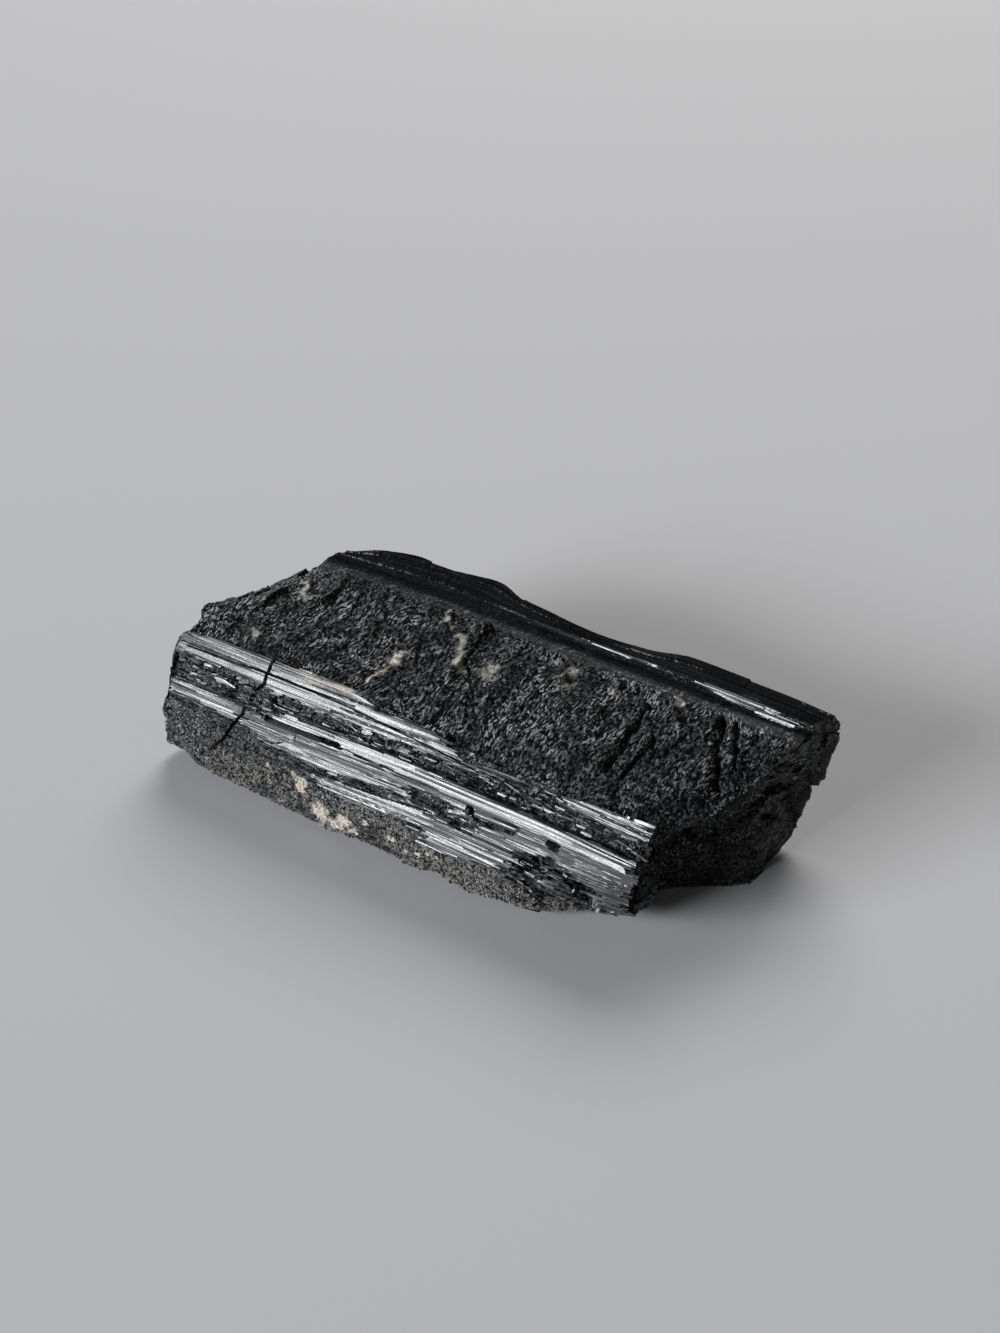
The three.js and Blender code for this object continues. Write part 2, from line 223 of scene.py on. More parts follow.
# Clefts of the broken top, which run across it: depth, width and the line (x, girth)
CLEFTS = [
    ("first", 1.1, 0.7, [(21.2, 18.9), (21.9, 12), (22.2, 5.9)]),
    ("second", 0.8, 0.45, [(24.9, 14.1), (24.3, 6.1)]),
    ("third", 0.8, 0.45, [(28.3, 16.3), (27.7, 12)]),
    ("fourth", 1.3, 0.75, [(30.7, 21.3), (32.8, 16.3), (34.6, 11.6)]),
    ("fifth", 1.0, 0.55, [(32.9, 21.5), (35.8, 14.7)]),
]

# Pale mineral: width of the patch and its line (x, girth)
CREAM_VEINS = [
    ("vein", 0.5, [(-12.2, 2.6), (-11.8, 6.5)]),
    ("patch on the lip", 0.75, [(-21, -0.2), (-18.5, -0.6), (-16, -0.5), (-13, 0.0)]),
    ("end of the vein", 0.8, [(-11.6, 8), (-11.5, 9.7)]),
]
GREY_PATCHES = [
    ("streak", 0.9, [(-6.5, 16.7), (-5, 14), (-3.7, 11.7)]),
    ("patch", 1.3, [(0, 13.8), (0.3, 12.8)]),
    ("long patch", 1.1, [(9.5, 19.3), (9.6, 16.6)]),
    ("back patch", 0.7, [(15.7, 19), (16.1, 18.4)]),
    ("right back patch", 0.7, [(24.8, 20.5), (25.2, 19.9)]),
    ("left back patch", 0.7, [(-9.8, 18.5), (-9.2, 17.8)]),
    ("left streak", 0.6, [(-33.3, 17.2), (-30.4, 13.1)]),
    ("front streak", 0.5, [(-32.7, 4), (-31.5, 3)]),
]
PALE_SPOTS = [
    (-17.9, -15.3, 1.1), (-14.9, -18.2, 1.6), (-10.9, -17.9, 1.3), (-3, -16.9, 0.7), (-19.4, -14.2, 0.5),
    (-12.6, -18.8, 0.9), (-7.2, -16.4, 0.5), (-9.0, -18.6, 0.6), (-0.5, -17.6, 0.4), (2.6, -17.0, 0.4),
    (4.2, -16.9, 0.4), (-23.8, -15.0, 0.4), (1.2, -17.6, 0.5),
]

# The broken top: cross ledges that bow and wander and grow towards the hollowed end, smaller ledges on them,
# and chips, each kind with its size, slope and seed
LEDGE_PITCH = 5.2
LEDGE_HEIGHT = 1.1
LEDGE_BOW = 0.02
LEDGE_STRENGTH = {"middle": 0.45, "least": 0.2, "share": 0.55}
MINOR_LEDGES = {"pitch": 1.9, "height": 0.18}
CHIPS = [(3.4, 0.3, 71), (1.3, 0.14, 75)]
CHIP_SLANT = 0.2
CHIP_LENGTH = 2.2
RIM_DROP = 0.35

# The rock of the lower front: where it begins in girth, how much lower it begins at the left, how far it
# stands out, and how high above the base and how far right it reaches
BELLY = {"girth": -14.0, "lower": 1.2, "lift": 0.3, "above": 0.4, "right": 15}

# Layers of relief and of wandering: the kind, the height, the size along and across, and the seed
LAYERS = {
    "striation": [
        ("flutes", 0.08, 70, 1.3, 0), ("flutes", 0.05, 50, 0.55, 2), ("flutes", 0.025, 30, 0.27, 4),
        ("laths", 0.05, 16, 0.8, 6)],
    "wide leaning laths": [("leaning", 0.16, 40, 1.7, 81)],
    "narrow leaning laths": [("leaning", 0.62 * 0.28, 22, 0.62, 85), ("leaning", 0.3 * 0.3, 12, 0.3, 87)],
    "laths of the front": [("laths", 0.1, 25, 1.7, 89)],
    "laths of the plates": [("leaning", 0.06, 22, 0.4, 91)],
    "lean of the plates": [("laths", 0.12, 25, 0.6, 93)],
    "ragged ends": [("laths", 1.6, 1, 0.25, 21)],
    "ragged edges": [("laths", 0.1, 2.3, 1, 23)],
    "grain": [("chips", 0.24, 1.8, 0.9, 27), ("chips", 0.1, 0.8, 0.5, 28)],
    "laths in the hollows": [("laths", 0.15, 3.7, 0.8, 29)],
    "cavities": [("chips", 1.2, 2.2, 1.7, 33), ("laths", 0.5, 1.9, 0.7, 35)],
    "belly": [("wave", 0.4, 3.4, 3.4, 9)],
    "ledge wander": [("wave", 2.2, 9, 9, 3)],
    "ledge strength": [("wave", 0.45, 11, 6, 44)],
    "lumps of the top": [("wave", 0.65, 8, 8, 5)],
    "chip wander": [("wave", 0.5, 3, 4, 49)],
    "minor ledge wander": [("wave", 0.4, 2, 5, 46)],
    "laths of the top": [("laths", 0.1, 3.1, 0.7, 43)],
    "cleft wander": [("wave", 0.5, 1, 1.5, 47)],
    "ridge": [("wave", 0.4, 9, 9, 8)],
    "back": [("flutes", 0.3, 40, 2.2, 53), ("laths", 0.15, 17, 1.3, 55)],
    "rock patches": [("wave", 1.2, 3.5, 1.6, 67)],
    "vein wander": [("wave", 0.5, 0.8, 0.8, 61)],
    "vein edge": [("wave", 0.5, 0.35, 0.35, 62)],
    "spot edge": [("wave", 0.6, 0.5, 0.4, 63)],
    "grey wander": [("wave", 0.6, 0.9, 0.9, 64)],
    "grey edge": [("wave", 0.6, 0.4, 0.6, 65)],
    "end lumps": [("wave", 1.3, 4.5, 4.5, 0)],
    "end laths": [("laths", 0.35, 5, 1.3, 2)],
    "end chips": [("chips", 1.7, 4.2, 3.2, 4), ("chips", 0.6, 1.4, 1.1, 8)],
}
STRIATION_CUTS = {"depth": 0.22, "length": 13, "spacing": 0.75, "seed": 8, "share": 0.5}
FACE_SEED = 31
BACK_SEED = 51

# Bands of the girth: where each begins, how soft its start is, where it ends and how soft its end is
BANDS = {
    "broken top": (-0.2, 0.5, 21.6, 0.8),
    "rim of the top": (-0.1, 0.4, 3, 2),
    "ridge": (26, 1.5, 33, 2),
    "back": (26.2, 0.6, 50, 2),
    "strands": (-24, 2, 6, 4),
}

# The broken ends: 1 is the right end and -1 the left. The hollows of the right end have their place across
# and up, half their width and height, and their depth
END_RIM_SHARE = 0.5
END_SUNK = 1.0
END_REACH = 0.1
END_SEEDS = {1: 12, -1: 14}
END_CHIPS = {1: 1.0, -1: 0.6}
RUNG_STEPS = {1: 90, -1: 40}
END_HOLLOWS = [(-2, 10, 8, 4.2, 4.5), (9, 13, 5, 5, 2), (-10, 8, 3, 4, 1.5)]

TRIANGLES = 192000
SHARP_ANGLE = 24

# Where fewer pale strokes and lines are drawn, so that these places stay darker than the front as painted
# shade: the ends, and the ridge with the back, apart from the streaks on the ridge
BARE_AND_SHADED = {"ends": 0.6, "back": 0.95, "off the streaks": 0.6}
# The masks that the materials read
MASKS = ("gloss", "matrix", "cream", "haze", "pit", "bare")

# Noise of the materials: the scale along each axis, the detail and the roughness. The lines are scaled for
# each millimetre of the face, the others for each metre
NOISES = {
    "lines": ((0.03, 5, 1), 4.0, 0.65),
    "clumps": ((420, 300, 420), 3.0, 0.5),
    "specks": ((2600, 1700, 2600), 3.0, 0.7),
    "bend": ((170, 170, 170), 2.0, 0.5),
    "broad": ((110, 90, 110), 2.0, 0.5),
    "fibres": ((60, 4500, 4500), 3.0, 0.65),
    "patches": ((700, 500, 700), 2.0, 0.5),
    "minerals": ((1600, 1600, 1600), 2.0, 0.5),
    "tints": ((400, 400, 400), 1.0, 0.5),
}
# The scale of the fine flutes, the cells of chips and strokes for each metre, and how far the strokes bend
FLUTE_SCALE = (0.02, 2.6, 1)
RELIEF_CELLS = (2000, 700, 2000)
CHIP_CELLS = (4600, 1500, 4600)
STROKE_CELLS = (6200, 1500, 5000)
BEND_REACH = (0.003, 0.003, 0.003)

# Where a value begins and ends to count, and what it is worth there when that isn't 0 and 1
RANGES = {
    "above the base": (0.0002, 0.001),
    "clumps": (0.36, 0.6),
    "broad clumps": (0.38, 0.6, 0.35, 1.15),
    "strokes": (0.77, 0.83),
    # The pale specks and strokes are partly painted glints, and the pale lines partly painted sheen
    "specks of dust": (0.5, 0.75),
    "strokes where bare": (0, 1, 1.0, 0.0),
    "lines": (0.44, 0.66),
    "lines where bare": (0, 1, 1.0, 0.05),
    "rock": (0.45, 0.58),
    "grey": (0.35, 0.55, 0.4, 1.0),
    "cream": (0.38, 0.5, 0.2, 1.0),
    "stains": (0.4, 0.6, 0.8, 0.0),
    "splinter fibres": (0.5, 0.7),
    "splinter patches": (0.42, 0.66),
    "splinter roughness": (0.3, 0.7, 0.45, 0.15),
    "grain tints": (0.35, 0.65),
    "grains that aren't black": (0.45, 0.53),
    "cream grains": (0.2, 0.6),
    "grain roughness": (0.4, 0.6, 0.3, 0.6),
}
# The pale specks are partly painted glints, and the pale lines along the striations partly painted sheen
WEIGHTS = {
    "specks of dust": 0.4, "dust in lines": 0.75, "roughness where bare": -0.1, "roughness of specks": 0.4,
    "roughness of patches": 0.3, "height of specks": 0.5,
}
BUMP_HEIGHT = 0.00015
SPLINTER_BUMP_HEIGHT = 0.00004
SPLINTER_REFRACTION = 1.75
GRAIN_REFRACTION = 1.55
GRAIN_LIGHTER = 1.6

# The materials of the surface: refraction, shine and share of pale fibres, which are partly painted glints
# and painted sheen
FINISHES = {
    "striated faces": (1.85, 0.5, 1.0),
    "broken faces": (1.6, 0.3, 1.0),
    "broken ends": (1.6, 0.14, 1.3),
}

# The stage, in metres, watts and degrees
FLOOR = {"reach": 6.0, "colour": (0.62, 0.62, 0.635, 1), "roughness": 0.7}
WINDOW = {
    "place": (-1.066, -2.106, 1.04), "width": 1.3, "height": 0.7, "power": 58, "colour": (0.94, 0.97, 1.0)}
LAMP = {
    "place": (-0.25, 0.75, 0.8), "width": 0.7, "height": 0.7, "power": 8.0, "colour": (1.0, 0.985, 0.96)}
ROOM = {"colour": (0.98, 0.99, 1.0, 1), "strength": 0.05}
CAMERA = {
    "lens": 54.0, "sensor": 36, "nearest": 0.01, "place": (0.11562, -0.17662, 0.18246), "down": 37.1,
    "turned": 32.7}


def smooth(t):
    """An even step from 0 to 1."""
    t = np.clip(t, 0, 1)
    return t * t * (3 - 2 * t)


def above(value, start, over):
    """A soft step up from 0 at the start to 1, over a distance."""
    return smooth((value - start) / over)


def below(value, end, over):
    """A soft step down to 0 at the end, from 1 at a distance before it."""
    return smooth((end - value) / over)


def band(g, name):
    """A mask of one of the bands of the girth."""
    start, soft_start, end, soft_end = BANDS[name]
    return above(g, start, soft_start) * below(g, end, soft_end)


def chance(i, j, seed):
    """A repeatable number from 0 to 1 for a place in a grid."""
    n = np.sin(i * 127.1 + j * 311.7 + seed * 74.7) * 43758.5453
    return n - np.floor(n)


def grid_noise(x, y, seed, blend_across):
    """Noise from -1 to 1 that changes over one unit, blended across by a given function."""
    i, j = np.floor(x), np.floor(y)
    a, b = smooth(x - i), blend_across(y - j)
    near = chance(i, j, seed) * (1 - a) + chance(i + 1, j, seed) * a
    far = chance(i, j + 1, seed) * (1 - a) + chance(i + 1, j + 1, seed) * a
    return 2 * (near * (1 - b) + far * b) - 1


def wave(x, y, seed):
    """Smooth noise."""
    return grid_noise(x, y, seed, smooth)


def flutes(along, across, seed):
    """Noise with flat facets across and smooth lines along."""
    return grid_noise(along, across, seed, lambda t: t)


def laths(along, across, seed):
    """One height for each lath of a broken striated face."""
    column = np.floor(across)
    piece = np.floor(along + 9 * chance(column, 0, seed))
    return 2 * chance(column, piece, seed + 1) - 1


def cuts(along, across, seed, share):
    """Sharp lines, 1 deep, in a share of the columns, each as long as its lath."""
    column = np.floor(across)
    piece = np.floor(along + 9 * chance(column, 0, seed))
    there = chance(column, piece, seed + 1) < share
    place = 0.3 + 0.4 * chance(column, piece, seed + 2)
    return there * (1 - smooth(np.abs(across - column - place) / 0.22))


def chips(u, v, seed):
    """Flat chips, each tilted its own way, that meet in sharp steps; about one chip to a unit."""
    i, j = np.floor(u), np.floor(v)
    nearest = np.full(np.shape(u), np.inf)
    height = np.zeros(np.shape(u))
    for di in (-1, 0, 1):
        for dj in (-1, 0, 1):
            ci, cj = i + di, j + dj
            du = u - ci - chance(ci, cj, seed)
            dv = v - cj - chance(ci, cj, seed + 1)
            reach = du * du + dv * dv
            tilted = (chance(ci, cj, seed + 2) - 0.5) * du + (chance(ci, cj, seed + 3) - 0.5) * dv
            height = np.where(reach < nearest, 2 * tilted, height)
            nearest = np.minimum(nearest, reach)
    return height


def leaning(along, across, seed):
    """Laths that each lean out to their lower edge, by 0 to 1 of their width."""
    column = np.floor(across)
    piece = np.floor(along + 9 * chance(column, 0, seed))
    return (0.5 - across + column) * chance(column, piece, seed + 1)


KINDS = {"wave": wave, "flutes": flutes, "laths": laths, "chips": chips, "leaning": leaning}


def layered(name, along, across, seed=0):
    """The sum of the layers of one name."""
    return sum(
        height * KINDS[kind](along / length, across / width, seed + own)
        for kind, height, length, width, own in LAYERS[name])


def inside(outline, x, g):
    """How far inside an outline a place is, in millimetres; negative outside it."""
    nearest = np.full(np.shape(x), np.inf)
    within = np.zeros(np.shape(x), bool)
    for (ax, ag), (bx, bg) in zip(outline, outline[1:] + outline[:1]):
        dx, dg = bx - ax, bg - ag
        f = np.clip(((x - ax) * dx + (g - ag) * dg) / (dx * dx + dg * dg), 0, 1)
        nearest = np.minimum(nearest, np.hypot(x - ax - f * dx, g - ag - f * dg))
        if dg:
            within ^= ((ag > g) != (bg > g)) & (x < ax + (g - ag) * dx / dg)
    return np.where(within, nearest, -nearest)


def distance_to(line, x, g):
    """How far a place is from a line of points, in millimetres."""
    nearest = np.full(np.shape(x), np.inf)
    for (ax, ag), (bx, bg) in zip(line, line[1:]):
        dx, dg = bx - ax, bg - ag
        f = np.clip(((x - ax) * dx + (g - ag) * dg) / (dx * dx + dg * dg), 0, 1)
        nearest = np.minimum(nearest, np.hypot(x - ax - f * dx, g - ag - f * dg))
    return nearest


def edge_lines(shares):
    """The place of each long edge at each share of its length: an array of rings by edges by three."""
    lines = []
    for _, _, _, stations in EDGES:
        table = np.array(stations, float)
        x = table[0, 0] + (table[-1, 0] - table[0, 0]) * shares
        near = [np.interp(x + d, table[:, 0], table[:, k]) for d in (-0.03, 0, 0.03) for k in (1, 2)]
        y = (near[0] + 2 * near[2] + near[4]) / 4
        z = (near[1] + 2 * near[3] + near[5]) / 4
        lines.append(np.stack([x, y, z], 1))
    places = np.stack(lines, 1) * HALF_SIZE
    return places * SET_DOWN_STRETCH + SET_DOWN_SHIFT


def column_girths():
    """The girth of each column of points, from 0 round to the top front edge again."""
    columns, start = [], 0.0
    for _, width, spacing, _ in EDGES:
        count = round(width / spacing)
        columns += [start + width * k / count for k in range(count)]
        start += width
    return np.array(columns)


def loft(lines, girths):
    """The surface through the long edges at the given girths, before any relief."""
    bounds = np.concatenate([[0], np.cumsum([edge[1] for edge in EDGES])])
    total = 0
    for offset, weight in ((-EDGE_ROUNDING, 0.25), (0, 0.5), (EDGE_ROUNDING, 0.25)):
        g = np.mod(girths + offset, GIRTH)
        face = np.clip(np.searchsorted(bounds, g, side="right") - 1, 0, len(EDGES) - 1)
        f = ((g - bounds[face]) / (bounds[face + 1] - bounds[face]))[None, :, None]
        total = total + weight * (lines[:, face] * (1 - f) + lines[:, (face + 1) % len(EDGES)] * f)
    return total


def outward_normals(points):
    """Outward directions of a grid of rings."""
    along = np.gradient(points, axis=0)
    round_it = np.roll(points, -1, 1) - np.roll(points, 1, 1)
    normal = np.cross(along, round_it)
    normal[..., 0] *= 0.0
    return normal / np.linalg.norm(normal, axis=2, keepdims=True)


def broken_top(x, y):
    """How far the broken top stands out."""
    phase = (x + LEDGE_BOW * y * y + layered("ledge wander", x, y)) / LEDGE_PITCH
    ledge = phase - np.floor(phase)
    strength = np.clip(LEDGE_STRENGTH["middle"] + x / LENGTH, LEDGE_STRENGTH["least"], 1)
    strength = strength * (LEDGE_STRENGTH["share"] + layered("ledge strength", x, y))
    height = LEDGE_HEIGHT * strength * (0.5 - ledge) + layered("lumps of the top", x, y)
    across = x + CHIP_SLANT * y + layered("chip wander", x, y)
    for size, slope, seed in CHIPS:
        height = height + slope * size * chips(across / size, y / size / CHIP_LENGTH, seed)
    minor = across / MINOR_LEDGES["pitch"] + layered("minor ledge wander", x, y)
    height = height + MINOR_LEDGES["height"] * strength * (0.5 - minor + np.floor(minor))
    return height + layered("laths of the top", y, across)


def striated(x, s, seed):
    """The profile of a striated face, from its coarse flutes to its fine lines."""
    cut = STRIATION_CUTS
    sharp = cuts(x / cut["length"], s / cut["spacing"], seed + cut["seed"], cut["share"])
    return layered("striation", x, s, seed) - cut["depth"] * sharp


def front_face(x, s, slopes):
    """The striated front: its laths lean out to their lower edges under the crest, and lie flat above it."""
    under = below(s, LATHS_LEAN_UNDER, 0.6)
    even = s / LATH_LEAN["width"]
    lean = layered("wide leaning laths", x, s) + LATH_LEAN["even"] * (0.5 - even + np.floor(even))
    lean = LATH_LEAN["width"] * lean + layered("narrow leaning laths", x, s)
    lean = LATH_LEAN["share"] * under * lean * np.clip(slopes / LATH_LEAN["slope"], 0, LATH_LEAN["most"])
    return FACE_STRIATION * striated(x, s, FACE_SEED) + lean + layered("laths of the front", x, s)


def patches(lines, x, g, wander, edge):
    """A mask of ragged patches that lie along lines."""
    amount = np.zeros(x.shape)
    for _, width, line in lines:
        reach = distance_to(line, x + layered(wander, x, g), g) / width
        amount = np.maximum(amount, 1 - smooth(reach + layered(edge, x, g)))
    return amount


def relief(x, g, s, y, z, slopes, sunk):
    """How far the surface stands out, how rough it is, and the masks of its finishes, at each place."""
    front = below(g, 0.6, 0.6) * (g > FRONT_FOOT)
    back = above(g, 25.8, 0.4) * (g < BACK_FOOT)
    ragged_x = x + layered("ragged ends", 0 * x, s)
    ragged_g = g + layered("ragged edges", x, 0 * g)
    corner = smooth(0.5 + inside(BROKEN_CORNER, ragged_x, ragged_g))
    top = broken_top(x, y) * band(g, "broken top") - RIM_DROP * band(g, "rim of the top")
    rough_front = (layered("grain", x, g) + layered("laths in the hollows", x, s)) * front
    low = below(g, BELLY["girth"] - BELLY["lower"] * below(x, -22, 4), 1.5)
    belly = (BELLY["lift"] + layered("belly", x, z)) * low
    belly = belly * above(z, BELLY["above"], 1.2) * below(x, BELLY["right"], 5)
    gloss = smooth(inside(FACE, ragged_x, ragged_g) / PLATE_EDGE)
    height = (top + rough_front + belly) * (1 - gloss) + (FACE_LIFT + front_face(x, s, slopes)) * gloss
    rough = np.zeros(x.shape)
    # The pits get no pale strokes and stay dark, as painted shade: first the broken corner, then the gaps and
    # the clefts
    pit = 0.9 * corner
    for _, depth, rim, outline in HOLLOWS:
        amount = smooth(0.5 + inside(outline, ragged_x, ragged_g) / rim)
        height = height * (1 - amount) + (rough_front * (1 + 0.5 * depth) - depth) * amount
        gloss = gloss * (1 - amount)
        rough = np.maximum(rough, amount)
    height = height + layered("cavities", x, g) * corner * above(z, 0.5, 2.5)
    plates = striated(x, s, FACE_SEED) + layered("laths of the plates", x, s)
    for _, lift, lean, fluting, outline in PLATES:
        amount = smooth(inside(outline, ragged_x, ragged_g) / PLATE_EDGE)
        middle = sum(point[1] for point in outline) / len(outline)
        beside = np.argmin(np.abs(g[0] - middle))
        leaned = (lean + layered("lean of the plates", x, s)) * (sunk[:, beside:beside + 1] - sunk)
        height = height * (1 - amount) + (lift + fluting * plates + leaned) * amount
        gloss = np.maximum(gloss, amount)
    for _, depth, width, line in GAPS:
        amount = 1 - above(distance_to(line, x, g) / (width / 2), 0.7, 0.3)
        height = height - depth * amount
        gloss = gloss * (1 - amount)
        pit = np.maximum(pit, amount)
    notch = np.clip(1 - np.abs(g - RIDGE_NOTCH["girth"]) / RIDGE_NOTCH["half_width"], 0, 1)
    height = height - RIDGE_NOTCH["depth"] * notch * (1 - gloss)
    for _, lift, width, line in BARS:
        amount = np.sqrt(np.clip(1 - (distance_to(line, x, g) / (width / 2)) ** 2, 0, 1))
        bar = (amount > 0) & (lift - (1 - amount) * width / 2 > height)
        height = np.where(bar, lift - (1 - amount) * width / 2, height)
        gloss = np.maximum(gloss, 1.0 * bar)
        pit = pit * (1 - bar)
    for _, depth, width, line in CLEFTS:
        amount = 1 - smooth(distance_to(line, x + layered("cleft wander", x, y), g) / width)
        height = height - depth * amount
        pit = np.maximum(pit, amount)
    back_profile = striated(x, g, BACK_SEED) + layered("back", x, g)
    height = height + back * (layered("ridge", x, y) * band(g, "ridge") + back_profile * band(g, "back"))
    gloss = np.maximum(gloss, back * below(g, 49, 2) * (0.4 + 0.6 * above(g, 29.5, 2)))
    gloss = np.maximum(gloss, 0.4 * above(g, 21.2, 0.8) * (g < 26))
    broken_rock = smooth(1.0 + layered("rock patches", x, g))
    matrix = low * (1 - gloss) * (1 - corner) * above(x, -36, 5) * broken_rock
    cream = patches(CREAM_VEINS, x, g, "vein wander", "vein edge")
    for px, pg, size in PALE_SPOTS:
        reach = np.hypot(x - px, g - pg) / size
        cream = np.maximum(cream, 1 - smooth(1.4 * (reach - 0.4) + layered("spot edge", x, g)))
    haze = patches(GREY_PATCHES, x, g, "grey wander", "grey edge")
    return height * (1 - below(z, 0.3, 0.3)), rough, [gloss, matrix, cream, haze, pit]


def end_relief(y, z, side):
    """How far a broken end stands out along the crystal."""
    seed = END_SEEDS[side]
    height = layered("end lumps", y, z, seed) + layered("end laths", z, y, seed)
    return height + END_CHIPS[side] * layered("end chips", y, z, seed)


def steps_round(points):
    """The distance from each point of a ring to the next."""
    return np.linalg.norm(np.diff(points[..., 1:], axis=1, append=points[:, :1, 1:]), axis=2)


def strands(points, g):
    """The girth, but measured from the crest on the front, so that its lines run beside the crest."""
    step = steps_round(points)
    walked = np.cumsum(step, axis=1) - step
    walked = walked - np.where(g >= 0, 0, walked[:, -1:] + step[:, -1:])
    crest = np.argmin(np.abs(g[0] + EDGES[-1][1]))
    measured = walked - walked[:, crest:crest + 1] - EDGES[-1][1]
    on_front = band(g, "strands")
    return measured * on_front + g * (1 - on_front)


def lean_needed(points, normals, laid):
    """The slope that turns each place of the front to one even direction, and its sum up the front."""
    up = np.arctan2(normals[..., 2], -normals[..., 1])
    turn = np.clip(math.radians(LEANING_FACES_UP) - up, -LARGEST_TURN, LARGEST_TURN)
    slopes = np.tan(turn) * ((laid < 1) & (laid > FRONT_FOOT))
    first = int(np.argmin(laid))
    climbed = np.cumsum(np.roll(slopes * steps_round(points), -first, 1), axis=1)
    return slopes, np.roll(climbed, first, 1)


def add_mask(mesh, name, values):
    """A number for each point of a mesh."""
    made = mesh.attributes.new(name, "FLOAT", "POINT")
    made.data.foreach_set("value", values.astype(np.float32))


def crystal_mesh(lift_scale):
    """The closed surface of the whole crystal, with its coordinates and masks as attributes."""
    shares = np.linspace(0, 1, RINGS)
    girths = column_girths()
    count = len(girths)
    points = loft(edge_lines(shares), girths)
    normals = outward_normals(points)
    x, y, z = points[..., 0], points[..., 1], points[..., 2]
    laid = np.where(girths < BASE_FROM, girths, girths - GIRTH)
    g = np.broadcast_to(laid, x.shape)
    strand = strands(points, g)
    slopes, sunk = lean_needed(points, normals, laid)
    height, rough, masks = relief(x, g, strand, y, z, slopes, sunk)
    points = points + normals * (height * lift_scale)[..., None]
    points[..., 2] = np.maximum(points[..., 2], 0)
    right = END_RIM_SHARE * np.clip((shares - 1 + END_REACH) / END_REACH, 0, 1)[:, None]
    left = END_RIM_SHARE * np.clip((END_REACH - shares) / END_REACH, 0, 1)[:, None]
    points[..., 0] += right * end_relief(y, z, 1) - left * end_relief(y, z, -1)
    vertices = list(points.reshape(-1, 3))
    # These places get fewer pale strokes and lines than the front, and stay darker as painted shade
    bare = np.maximum(BARE_AND_SHADED["ends"] * (right > END_RIM_SHARE / 2), BARE_AND_SHADED["back"] * above(g, 22.5, 1.5))
    # The streaks on the ridge get their pale lines back, as a painted highlight
    for streak in RIDGE_STREAKS:
        bare = bare * (1 - BARE_AND_SHADED["off the streaks"] * smooth(inside(streak[-1], x, g) / 0.2))
    columns = [x, strand, rough, *masks, bare]
    values = list(np.stack(columns, -1).reshape(-1, len(columns)))
    faces = []

    def add_face(corners):
        kept = [c for k, c in enumerate(corners) if c != corners[k - 1]]
        if len(kept) > 2:
            faces.append(kept)

    ring = np.arange(count)
    after = (ring + 1) % count
    for i in range(RINGS - 1):
        low, high = i * count, (i + 1) * count
        faces.extend(np.stack([low + ring, high + ring, high + after, low + after], 1).tolist())
    crest_start = int(np.searchsorted(girths, GIRTH - EDGES[-1][1] - 1e-6))
    for last, side in ((0, -1), (RINGS - 1, 1)):
        steps = RUNG_STEPS[side]
        rungs = count // 2
        ladder = [[last * count + crest_start] * (steps + 1)]
        for i in range(1, rungs):
            low = last * count + (crest_start - i) % count
            high = last * count + (crest_start + i) % count
            a, b = np.array(vertices[low]), np.array(vertices[high])
            f = np.arange(1, steps)[:, None] / steps
            between = a * (1 - f) + b * f
            fade = np.sqrt(np.sin(np.pi * f[:, 0]) * math.sin(math.pi * i / rungs))
            moved = end_relief(between[:, 1], between[:, 2], side)
            if side > 0:
                moved = moved - END_SUNK
                for hy, hz, across, up, depth in END_HOLLOWS:
                    reach = ((between[:, 1] - hy) / across) ** 2 + ((between[:, 2] - hz) / up) ** 2
                    moved = moved - depth * np.exp(-reach)
            between[:, 0] += side * moved * fade
            first = len(vertices)
            vertices.extend(between)
            values.extend(np.array([[*p[:2], *[0] * len(masks), 0, BARE_AND_SHADED["ends"]] for p in between]))
            ladder.append([low, *range(first, first + steps - 1), high])
        ladder.append([last * count + (crest_start + rungs) % count] * (steps + 1))
        for before, following in zip(ladder, ladder[1:]):
            for k in range(steps):
                quad = [before[k], following[k], following[k + 1], before[k + 1]]
                add_face(quad if side > 0 else quad[::-1])
    mesh = bpy.data.meshes.new("crystal base")
    mesh.from_pydata((np.array(vertices) * MM).tolist(), [], faces)
    along, strand, rough, *shown = np.array(values).T
    shown = dict(zip(MASKS, shown))
    raised = above(np.array(vertices)[:, 2], 0.8, 0.8)
    lay = mesh.attributes.new("lay", "FLOAT_VECTOR", "POINT")
    lay.data.foreach_set("vector", np.stack([along, strand, 0 * along], 1).astype(np.float32).ravel())
    for name, mask in shown.items():
        add_mask(mesh, name, mask)
    add_mask(mesh, "splinters here", rough * raised)
    add_mask(mesh, "grains here", shown["matrix"] * raised)
    mesh.update()
    return mesh


def set_inputs(tree, node, inputs):
    """Link the inputs of a node, or set their constants."""
    for name, value in inputs.items():
        if isinstance(value, bpy.types.NodeSocket):
            tree.links.new(value, node.inputs[name])
        else:
            node.inputs[name].default_value = value


def add_node(tree, kind, inputs=None, **settings):
    """A node with its settings, its linked inputs and its constants."""
    made = tree.nodes.new(kind)
    for name, value in settings.items():
        setattr(made, name, value)
    set_inputs(tree, made, inputs or {})
    return made


def add_sockets(tree, kind, names, in_out="INPUT"):
    """Sockets of one kind for a node group, each name with its default or None."""
    for name, value in names.items():
        made = tree.interface.new_socket(name, in_out=in_out, socket_type="NodeSocket" + kind)
        if value is not None:
            made.default_value = value


def math_node(tree, operation, *values):
    """The result of a Math node."""
    made = add_node(tree, "ShaderNodeMath", dict(enumerate(values)), operation=operation)
    return made.outputs[0]


def times(tree, value, *factors):
    """A value multiplied by others."""
    for factor in factors:
        value = math_node(tree, "MULTIPLY", value, factor)
    return value


def rest_of(tree, value):
    """What is left of 1 after a value."""
    return math_node(tree, "SUBTRACT", 1.0, value)


